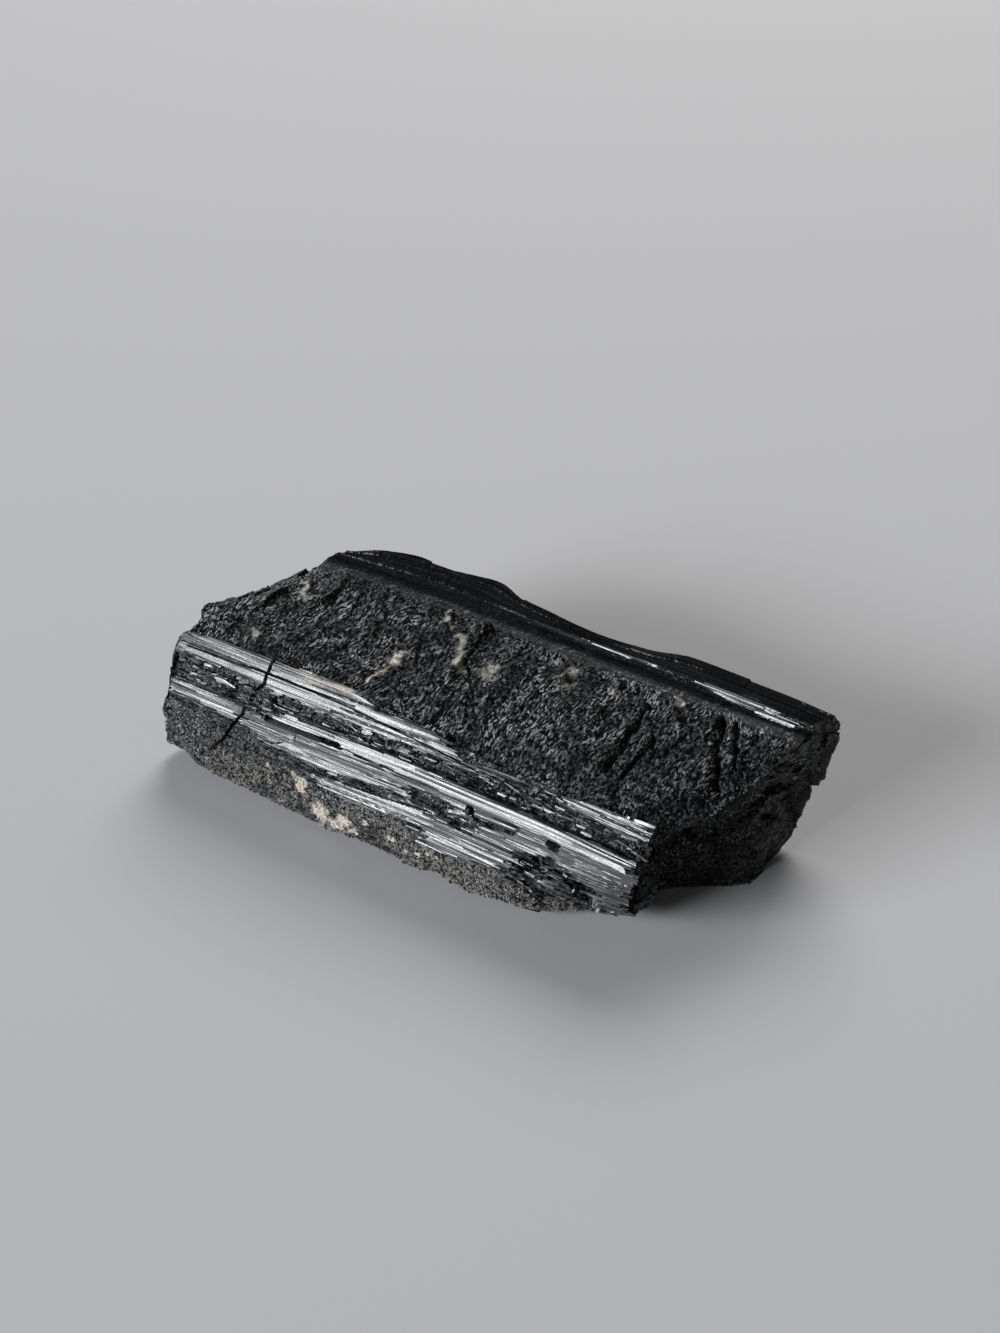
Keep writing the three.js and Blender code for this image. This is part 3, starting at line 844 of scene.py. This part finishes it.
def vector_node(tree, operation, *values):
    """The outputs of a Vector Math node."""
    return add_node(tree, "ShaderNodeVectorMath", dict(enumerate(values)), operation=operation).outputs


def scaled(tree, vector, factors):
    """A vector multiplied by another."""
    return vector_node(tree, "MULTIPLY", vector, factors)[0]


def map_range(tree, value, low, high, to_low=0.0, to_high=1.0):
    """A value mapped from one range to another, and clamped."""
    made = add_node(tree, "ShaderNodeMapRange", {
        "Value": value, "From Min": low, "From Max": high, "To Min": to_low, "To Max": to_high})
    return made.outputs[0]


def ranged(tree, value, name):
    """A value mapped by the range of one name."""
    return map_range(tree, value, *RANGES[name])


def add_noise(tree, place, name):
    """The outputs of the noise of one name."""
    scale, detail, roughness = NOISES[name]
    made = add_node(tree, "ShaderNodeTexNoise", {
        "Vector": scaled(tree, place, scale), "Scale": 1.0, "Detail": detail, "Roughness": roughness})
    return made.outputs


def mesh_attribute(tree, name, kind="FLOAT"):
    """An attribute of the mesh, in Geometry Nodes."""
    made = add_node(tree, "GeometryNodeInputNamedAttribute", {"Name": name}, data_type=kind)
    return made.outputs["Attribute"]


def chip_nodes(tree, vector):
    """Nodes for flat chips, each tilted its own way: their height, and a chance value for each chip."""
    cells = add_node(tree, "ShaderNodeTexVoronoi", {"Vector": vector, "Scale": 1.0}).outputs
    away = vector_node(tree, "SUBTRACT", vector, cells["Position"])[0]
    tilt = vector_node(tree, "SUBTRACT", cells["Color"], (0.5, 0.5, 0.5))[0]
    height = vector_node(tree, "DOT_PRODUCT", away, tilt)["Value"]
    return height, add_node(tree, "ShaderNodeSeparateXYZ", {0: cells["Color"]}).outputs[0]


def relief_tree():
    """Geometry Nodes that cut fine flutes into the striated faces and grain into the broken ones."""
    tree = bpy.data.node_groups.new("tourmaline relief", "GeometryNodeTree")
    add_sockets(tree, "Geometry", {"Surface": None})
    add_sockets(tree, "Float", {"Flute depth": 0.00008, "Chip height": 0.00015, "Seed": 0.0})
    add_sockets(tree, "Material", dict.fromkeys(("Face material", "Break material", "Black material")))
    add_sockets(tree, "Geometry", {"Surface": None}, "OUTPUT")
    given = tree.nodes.new("NodeGroupInput").outputs
    lay = mesh_attribute(tree, "lay", "FLOAT_VECTOR")
    gloss, bare, pit = (mesh_attribute(tree, name) for name in ("gloss", "bare", "pit"))
    lines = add_node(tree, "ShaderNodeTexNoise", {
        "Vector": scaled(tree, lay, FLUTE_SCALE), "W": given["Seed"], "Scale": 1.0, "Detail": 3.0,
        "Roughness": 0.6}, noise_dimensions="4D").outputs[0]
    place = tree.nodes.new("GeometryNodeInputPosition").outputs[0]
    chip, _ = chip_nodes(tree, scaled(tree, place, RELIEF_CELLS))
    flute = times(tree, math_node(tree, "SUBTRACT", lines, 0.5), given["Flute depth"], gloss)
    grain = times(tree, chip, given["Chip height"], rest_of(tree, gloss))
    up = add_node(tree, "ShaderNodeSeparateXYZ", {0: place}).outputs["Z"]
    height = times(tree, math_node(tree, "ADD", flute, grain), ranged(tree, up, "above the base"))
    normal = tree.nodes.new("GeometryNodeInputNormal").outputs[0]
    offset = add_node(tree, "ShaderNodeVectorMath", {0: normal, "Scale": height}, operation="SCALE")
    moved = add_node(tree, "GeometryNodeSetPosition", {
        "Geometry": given["Surface"], "Offset": offset.outputs[0]})
    shaded = add_node(tree, "GeometryNodeSetShadeSmooth", {"Geometry": moved.outputs[0]})
    realized = add_node(tree, "GeometryNodeRealizeInstances", {"Geometry": shaded.outputs[0]})
    faced = add_node(tree, "GeometryNodeSetMaterial", {
        "Geometry": realized.outputs[0], "Material": given["Face material"]})
    is_broken = math_node(tree, "LESS_THAN", gloss, 0.5)
    finished = add_node(tree, "GeometryNodeSetMaterial", {
        "Geometry": faced.outputs[0], "Selection": is_broken, "Material": given["Break material"]})
    deepest = math_node(tree, "MAXIMUM", bare, pit)
    is_black = times(tree, is_broken, math_node(tree, "GREATER_THAN", deepest, 0.5))
    darkened = add_node(tree, "GeometryNodeSetMaterial", {
        "Geometry": finished.outputs[0], "Selection": is_black, "Material": given["Black material"]})
    result = tree.nodes.new("NodeGroupOutput")
    tree.links.new(darkened.outputs[0], result.inputs[0])
    return tree


def scatter_tree():
    """Geometry Nodes that lay small broken prisms on the places a mask names."""
    tree = bpy.data.node_groups.new("tourmaline scatter", "GeometryNodeTree")
    add_sockets(tree, "Geometry", {"Surface": None})
    add_sockets(tree, "String", {"Mask": None})
    add_sockets(tree, "Float", {"Density": 4e6, "Sink": 0.0001, "Turn": 0.6, "Tilt": 0.3, "Taper": 0.3})
    add_sockets(tree, "Vector", dict.fromkeys(("Direction", "Least size", "Most size")))
    add_sockets(tree, "Int", {"Sides": 4, "Seed": 0})
    add_sockets(tree, "Material", {"Material": None})
    add_sockets(tree, "Geometry", {"Prisms": None}, "OUTPUT")
    given = tree.nodes.new("NodeGroupInput").outputs
    density = times(tree, mesh_attribute(tree, given["Mask"]), given["Density"])
    points = add_node(tree, "GeometryNodeDistributePointsOnFaces", {
        "Mesh": given["Surface"], "Density": density, "Seed": given["Seed"]})
    upright = add_node(tree, "FunctionNodeAxesToRotation", {
        "Primary Axis": points.outputs["Normal"], "Secondary Axis": given["Direction"]},
        primary_axis="Z", secondary_axis="X")
    most = add_node(tree, "ShaderNodeCombineXYZ", {0: given["Tilt"], 1: given["Tilt"], 2: given["Turn"]})
    least = scaled(tree, most.outputs[0], (-1, -1, -1))
    turn = add_node(tree, "FunctionNodeRandomValue", {
        "Min": least, "Max": most.outputs[0], "Seed": given["Seed"]}, data_type="FLOAT_VECTOR")
    turned = add_node(tree, "FunctionNodeRotateRotation", {
        "Rotation": upright.outputs[0],
        "Rotate By": add_node(tree, "FunctionNodeEulerToRotation", {0: turn.outputs[0]}).outputs[0]},
        rotation_space="LOCAL")
    size = add_node(tree, "FunctionNodeRandomValue", {
        "Min": given["Least size"], "Max": given["Most size"], "Seed": given["Seed"]},
        data_type="FLOAT_VECTOR")
    prism = add_node(tree, "GeometryNodeMeshCone", {
        "Vertices": given["Sides"], "Radius Top": given["Taper"], "Radius Bottom": 0.5, "Depth": 1.0})
    centred = add_node(tree, "GeometryNodeTransform", {
        "Geometry": prism.outputs[0], "Translation": (-0.5, 0, 0), "Rotation": (0, math.pi / 2, 0)})
    laid = add_node(tree, "GeometryNodeInstanceOnPoints", {
        "Points": points.outputs["Points"], "Instance": centred.outputs[0],
        "Rotation": turned.outputs[0], "Scale": size.outputs[0]})
    lower = add_node(tree, "ShaderNodeCombineXYZ", {2: times(tree, given["Sink"], -1.0)})
    sunk = add_node(tree, "GeometryNodeTranslateInstances", {
        "Instances": laid.outputs[0], "Translation": lower.outputs[0], "Local Space": True})
    realized = add_node(tree, "GeometryNodeRealizeInstances", {"Geometry": sunk.outputs[0]})
    finished = add_node(tree, "GeometryNodeSetMaterial", {
        "Geometry": realized.outputs[0], "Material": given["Material"]})
    result = tree.nodes.new("NodeGroupOutput")
    tree.links.new(finished.outputs[0], result.inputs[0])
    return tree


def run_tree(mesh, name, tree, values, share=1.0):
    """A plain mesh object from a node tree on a mesh, thinned to a share of its triangles."""
    carrier = bpy.data.objects.new(name + " carrier", mesh)
    bpy.context.scene.collection.objects.link(carrier)
    modifier = carrier.modifiers.new("relief", "NODES")
    modifier.node_group = tree
    for item in tree.interface.items_tree:
        if item.in_out == "INPUT" and item.name in values:
            modifier[item.identifier] = values[item.name]
    if share < 1:
        carrier.modifiers.new("thin", "DECIMATE").ratio = share
    depsgraph = bpy.context.evaluated_depsgraph_get()
    result = bpy.data.meshes.new_from_object(carrier.evaluated_get(depsgraph), depsgraph=depsgraph)
    carrier.modifiers.clear()
    bpy.data.objects.remove(carrier)
    piece = bpy.data.objects.new(name, result)
    result.name = name
    bpy.context.scene.collection.objects.link(piece)
    return piece


def scatter_piece(name, material, values):
    """A piece of many small prisms laid on the crystal's surface."""
    surface = bpy.data.objects[SURFACE].data
    tree = bpy.data.node_groups.get("tourmaline scatter") or scatter_tree()
    piece = run_tree(surface, name, tree, {**values, "Material": material})
    if not len(piece.data.polygons):
        raise RuntimeError(f"{name} is empty")
    finish_piece(piece)


def finish_piece(piece):
    """What every piece of the crystal says to the frame."""
    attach(piece, "root")
    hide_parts(SOLID)


def new_material(name):
    """An empty material with its shader."""
    material = bpy.data.materials.new(name)
    material.use_nodes = True
    tree = material.node_tree
    tree.nodes.clear()
    shader = tree.nodes.new("ShaderNodeBsdfPrincipled")
    output = tree.nodes.new("ShaderNodeOutputMaterial")
    tree.links.new(shader.outputs[0], output.inputs[0])
    return material, tree, shader


def mix_colour(tree, factor, a, b):
    """Two colours mixed."""
    return add_node(tree, "ShaderNodeMix", {0: factor, 6: a, 7: b}, data_type="RGBA").outputs[2]


def pattern_group(settings):
    """The colour, roughness and fine relief that the faces and the breaks of the crystal share; the colour
    holds painted glints, painted sheen and painted shade.
    """
    tree = bpy.data.node_groups.new("tourmaline pattern", "ShaderNodeTree")
    add_sockets(tree, "Color", {"Colour": None}, "OUTPUT")
    add_sockets(tree, "Float", dict.fromkeys(("Roughness", "Height")), "OUTPUT")
    add_sockets(tree, "Float", {"Pale fibres and sheen": 1.0, "Line height": 0.26})
    given = tree.nodes.new("NodeGroupInput").outputs
    lay = add_node(tree, "ShaderNodeAttribute", attribute_name="lay").outputs["Vector"]
    gloss, matrix, cream, haze, pit, bare = (
        add_node(tree, "ShaderNodeAttribute", attribute_name=name).outputs["Fac"] for name in MASKS)
    place = add_node(tree, "ShaderNodeTexCoord").outputs["Object"]
    lines = add_noise(tree, lay, "lines")[0]
    clumps, specks, broad = (add_noise(tree, place, name)[0] for name in ("clumps", "specks", "broad"))
    bend = add_noise(tree, place, "bend")["Color"]
    bent = vector_node(tree, "MULTIPLY_ADD", bend, BEND_REACH, place)[0]
    chip, _ = chip_nodes(tree, scaled(tree, bent, CHIP_CELLS))
    _, stroke_chance = chip_nodes(tree, scaled(tree, bent, STROKE_CELLS))
    # No pale strokes are drawn on the striated faces or in the pits, and the pits stay dark as painted shade
    plain = rest_of(tree, math_node(tree, "MAXIMUM", gloss, pit))
    dense = times(tree, ranged(tree, clumps, "clumps"), ranged(tree, broad, "broad clumps"))
    # Pale strokes and specks on the broken faces: partly pale fibres, partly painted glints
    strokes = times(tree, ranged(tree, stroke_chance, "strokes"), dense)
    speckled = ranged(tree, specks, "specks of dust")
    strokes = math_node(tree, "MULTIPLY_ADD", speckled, WEIGHTS["specks of dust"], strokes)
    # Fewer strokes on the ends, the ridge and the back: painted shade
    strokes = times(tree, strokes, ranged(tree, bare, "strokes where bare"))
    # Pale lines along the striated faces: partly a pale coating, partly painted sheen of the window's
    # reflection
    line_mask = times(tree, ranged(tree, lines, "lines"), gloss, ranged(tree, bare, "lines where bare"))
    painted_line_sheen = times(tree, line_mask, WEIGHTS["dust in lines"])
    pale_fibres_and_sheen = math_node(tree, "MULTIPLY_ADD", strokes, plain, painted_line_sheen)
    pale_fibres_and_sheen = times(tree, pale_fibres_and_sheen, given["Pale fibres and sheen"])
    stony = times(tree, matrix, ranged(tree, specks, "rock"))
    hazy = times(tree, haze, ranged(tree, specks, "grey"))
    stained = times(tree, gloss, ranged(tree, lines, "stains"))
    spot = times(tree, cream, ranged(tree, specks, "cream"), rest_of(tree, stained))
    colour = (*settings.dark_colour, 1)
    for amount, shade in (
            (pale_fibres_and_sheen, settings.pale_fibre_and_sheen_colour), (stony, settings.matrix_colour), (hazy, settings.haze_colour),
            (spot, settings.pale_colour)):
        colour = mix_colour(tree, amount, colour, (*shade, 1))
    rough = map_range(tree, gloss, 0, 1, settings.break_roughness, settings.face_roughness)
    uneven = math_node(tree, "SUBTRACT", specks, 0.5)
    patchy = math_node(tree, "MAXIMUM", spot, hazy)
    for amount, weight in (
            (bare, "roughness where bare"), (uneven, "roughness of specks"),
            (patchy, "roughness of patches")):
        rough = math_node(tree, "MULTIPLY_ADD", amount, WEIGHTS[weight], rough)
    line_height = times(tree, lines, gloss, given["Line height"])
    speck_height = math_node(tree, "MULTIPLY_ADD", specks, WEIGHTS["height of specks"], chip)
    height = math_node(tree, "MULTIPLY_ADD", speck_height, plain, line_height)
    result = tree.nodes.new("NodeGroupOutput")
    for socket, value in zip(result.inputs, (colour, rough, height)):
        tree.links.new(value, socket)
    return tree


def bumped(tree, height, reach):
    """The normal of a surface with a fine relief of a given reach."""
    made = add_node(tree, "ShaderNodeBump", {"Height": height, "Strength": 1.0, "Distance": reach})
    return made.outputs[0]


def tourmaline_material(name, pattern, refraction, shine, fibres):
    """Black tourmaline with the shared pattern, its own shine and its own share of pale fibres, which are
    partly painted glints and painted sheen.
    """
    material, tree, shader = new_material(name)
    shared = add_node(tree, "ShaderNodeGroup", {"Pale fibres and sheen": fibres}, node_tree=pattern).outputs
    set_inputs(tree, shader, {
        "Base Color": shared["Colour"], "Roughness": shared["Roughness"], "IOR": refraction,
        "Specular IOR Level": shine, "Normal": bumped(tree, shared["Height"], BUMP_HEIGHT)})
    return material


def splinter_material(name, settings):
    """Black tourmaline for small broken prisms: glossy, with a few pale fibres."""
    material, tree, shader = new_material(name)
    place = add_node(tree, "ShaderNodeTexCoord").outputs["Object"]
    fibres = add_noise(tree, place, "fibres")[0]
    clumps = add_noise(tree, place, "patches")[0]
    pale = times(tree, ranged(tree, fibres, "splinter fibres"), ranged(tree, clumps, "splinter patches"))
    set_inputs(tree, shader, {
        "Base Color": mix_colour(tree, pale, (*settings.dark_colour, 1), (*settings.pale_fibre_and_sheen_colour, 1)),
        "Roughness": ranged(tree, clumps, "splinter roughness"), "IOR": SPLINTER_REFRACTION,
        "Normal": bumped(tree, fibres, SPLINTER_BUMP_HEIGHT)})
    return material


def grain_material(name, colour, settings):
    """Grains of one mineral, mixed with black ones."""
    material, tree, shader = new_material(name)
    place = add_node(tree, "ShaderNodeTexCoord").outputs["Object"]
    which = add_noise(tree, place, "minerals")[0]
    tint = ranged(tree, add_noise(tree, place, "tints")[0], "grain tints")
    lighter = mix_colour(tree, tint, (*colour, 1), (*(min(1, GRAIN_LIGHTER * c) for c in colour), 1))
    mixed = mix_colour(
        tree, ranged(tree, which, "grains that aren't black"), (*settings.dark_colour, 1), lighter)
    cream = add_node(tree, "ShaderNodeAttribute", attribute_name="cream").outputs["Fac"]
    mixed = mix_colour(tree, ranged(tree, cream, "cream grains"), mixed, (*settings.pale_colour, 1))
    set_inputs(tree, shader, {
        "Base Color": mixed, "Roughness": ranged(tree, which, "grain roughness"), "IOR": GRAIN_REFRACTION})
    return material


def place_window(scene, name, place, width, height, power, colour):
    """A soft rectangular light that faces the crystal."""
    light = bpy.data.lights.new(name, "AREA")
    light.shape = "RECTANGLE"
    light.size = width
    light.size_y = height
    light.energy = power
    light.color = colour
    lamp = bpy.data.objects.new(name, light)
    lamp.location = place
    x, y, z = place
    lamp.rotation_euler = (math.pi / 2 - math.atan2(z, math.hypot(x, y)), 0, math.atan2(x, -y))
    scene.collection.objects.link(lamp)
    return lamp


class TourmalineSettings(bpy.types.PropertyGroup):
    """Sizes and colours that a user would change."""

    relief_scale: FloatProperty(
        name="Relief", description="How strongly plates, hollows and ledges stand out", default=1.0,
        min=0.0, max=2.0, subtype="FACTOR")
    flute_depth: FloatProperty(
        name="Flute depth", description="Depth of the fine lines along the striated faces",
        default=0.00008, unit="LENGTH")
    chip_height: FloatProperty(
        name="Chip height", description="Height of the small chips on the broken faces",
        default=0.00006, unit="LENGTH")
    splinter_density: FloatProperty(
        name="Splinters", description="Splinters for each square metre of the broken places",
        default=1.0e6, min=0)
    grain_density: FloatProperty(
        name="Grains", description="Grains for each square metre of the rock on the lower front",
        default=9.0e6, min=0)
    seed: IntProperty(name="Seed", description="Picks another pattern of fine relief", default=3)
    dark_colour: FloatVectorProperty(
        name="Crystal", description="Colour of the tourmaline itself", default=(0.003, 0.0034, 0.004),
        subtype="COLOR", min=0, max=1)
    # Pale fibres, whose strokes on the broken faces are partly painted glints and whose lines along the
    # striated faces are partly painted sheen
    pale_fibre_and_sheen_colour: FloatVectorProperty(
        name="Fibres", description="Colour of the fine pale fibres on the broken faces",
        default=(0.44, 0.46, 0.48), subtype="COLOR", min=0, max=1)
    matrix_colour: FloatVectorProperty(
        name="Matrix", description="Colour of the granular rock on the lower front",
        default=(0.26, 0.25, 0.23), subtype="COLOR", min=0, max=1)
    pale_colour: FloatVectorProperty(
        name="Pale grains", description="Colour of the pale mineral in veins and spots",
        default=(0.9, 0.81, 0.71), subtype="COLOR", min=0, max=1)
    haze_colour: FloatVectorProperty(
        name="Grey patches", description="Colour of the thin grey-green mineral on the broken top",
        default=(0.6, 0.6, 0.53), subtype="COLOR", min=0, max=1)
    face_roughness: FloatProperty(
        name="Face roughness", description="Roughness of the striated faces", default=0.27, min=0, max=1,
        subtype="FACTOR")
    break_roughness: FloatProperty(
        name="Break roughness", description="Roughness of the broken faces", default=0.31, min=0, max=1,
        subtype="FACTOR")


class CRYSTAL_OT_surface(bpy.types.Operator):
    """Build the surface of the crystal"""

    bl_idname = "crystal.surface"
    bl_label = "Crystal surface"

    def execute(self, context):
        settings = context.scene.tourmaline
        pattern = pattern_group(settings)
        faces, breaks, ends = (
            tourmaline_material(name, pattern, *finish) for name, finish in FINISHES.items())
        mesh = crystal_mesh(settings.relief_scale)
        share = TRIANGLES / sum(len(face.vertices) - 2 for face in mesh.polygons)
        piece = run_tree(mesh, SURFACE, relief_tree(), {
            "Flute depth": settings.flute_depth, "Chip height": settings.chip_height,
            "Seed": float(settings.seed), "Face material": faces, "Break material": breaks,
            "Black material": ends}, share)
        piece.data.set_sharp_from_angle(angle=math.radians(SHARP_ANGLE))
        finish_piece(piece)
        return {"FINISHED"}


class CRYSTAL_OT_splinters(bpy.types.Operator):
    """Lay the loose splinters in the broken places of the front"""

    bl_idname = "crystal.splinters"
    bl_label = "Splinters"

    def execute(self, context):
        settings = context.scene.tourmaline
        scatter_piece("front_splinters", splinter_material("splinters", settings), {
            "Mask": "splinters here", "Density": settings.splinter_density, "Sink": 0.0002, "Turn": 0.12,
            "Tilt": 0.1, "Taper": 0.42, "Direction": (1.0, 0.0, 0.0), "Least size": (0.0006, 0.0002, 0.0002),
            "Most size": (0.0026, 0.0007, 0.0006), "Sides": 5, "Seed": settings.seed + 1})
        return {"FINISHED"}


class CRYSTAL_OT_grains(bpy.types.Operator):
    """Lay the grains of the rock on the lower front"""

    bl_idname = "crystal.grains"
    bl_label = "Grains"

    def execute(self, context):
        settings = context.scene.tourmaline
        scatter_piece("rock_grains", grain_material("rock grains", settings.matrix_colour, settings), {
            "Mask": "grains here", "Density": settings.grain_density, "Sink": 0.00008, "Turn": 3.0,
            "Tilt": 1.2, "Taper": 0.35, "Direction": (1.0, 0.0, 0.0),
            "Least size": (0.00015, 0.00015, 0.0001), "Most size": (0.0005, 0.0004, 0.0003), "Sides": 5,
            "Seed": settings.seed + 2})
        return {"FINISHED"}


class CRYSTAL_OT_stage(bpy.types.Operator):
    """Build the floor, the light and the camera"""

    bl_idname = "crystal.stage"
    bl_label = "Stage"

    def execute(self, context):
        scene = context.scene
        mesh = bpy.data.meshes.new("floor")
        reach = FLOOR["reach"]
        corners = [(-reach, -reach, 0), (reach, -reach, 0), (reach, reach, 0), (-reach, reach, 0)]
        mesh.from_pydata(corners, [], [(0, 1, 2, 3)])
        floor = bpy.data.objects.new("floor", mesh)
        scene.collection.objects.link(floor)
        material, tree, shader = new_material("pale table")
        set_inputs(tree, shader, {"Base Color": FLOOR["colour"], "Roughness": FLOOR["roughness"]})
        mesh.materials.append(material)
        place_window(scene, "window", **WINDOW)
        place_window(scene, "lamp", **LAMP).visible_glossy = False
        world = bpy.data.worlds.new("room")
        world.use_nodes = True
        set_inputs(world.node_tree, world.node_tree.nodes["Background"], {
            "Color": ROOM["colour"], "Strength": ROOM["strength"]})
        scene.world = world
        camera = bpy.data.cameras.new("camera")
        camera.lens = CAMERA["lens"]
        camera.sensor_width = CAMERA["sensor"]
        camera.clip_start = CAMERA["nearest"]
        seen = bpy.data.objects.new("camera", camera)
        seen.location = CAMERA["place"]
        seen.rotation_euler = (math.radians(90 - CAMERA["down"]), 0, math.radians(CAMERA["turned"]))
        scene.collection.objects.link(seen)
        scene.camera = seen
        scene.view_settings.view_transform = "Standard"
        return {"FINISHED"}


class CRYSTAL_PT_panel(bpy.types.Panel):
    """Sizes, colours and pieces of the crystal"""

    bl_label = "Black tourmaline"
    bl_idname = "CRYSTAL_PT_panel"
    bl_space_type = "VIEW_3D"
    bl_region_type = "UI"
    bl_category = "Tourmaline"

    def draw(self, context):
        settings = context.scene.tourmaline
        for name in settings.bl_rna.properties.keys():
            if name not in ("rna_type", "name"):
                self.layout.prop(settings, name)
        for operator in OPERATORS:
            self.layout.operator(operator.bl_idname)


OPERATORS = (CRYSTAL_OT_surface, CRYSTAL_OT_splinters, CRYSTAL_OT_grains, CRYSTAL_OT_stage)
CLASSES = (TourmalineSettings, *OPERATORS, CRYSTAL_PT_panel)


def register():
    """Add the settings, the operators and the panel."""
    for made in CLASSES:
        bpy.utils.register_class(made)
    bpy.types.Scene.tourmaline = PointerProperty(type=TourmalineSettings)


def unregister():
    """Remove them again."""
    del bpy.types.Scene.tourmaline
    for made in reversed(CLASSES):
        bpy.utils.unregister_class(made)


def main():
    """Build every piece and the stage."""
    register()
    bpy.ops.crystal.surface()
    bpy.ops.crystal.splinters()
    bpy.ops.crystal.grains()
    bpy.ops.crystal.stage()


if __name__ == "__main__":
    main()
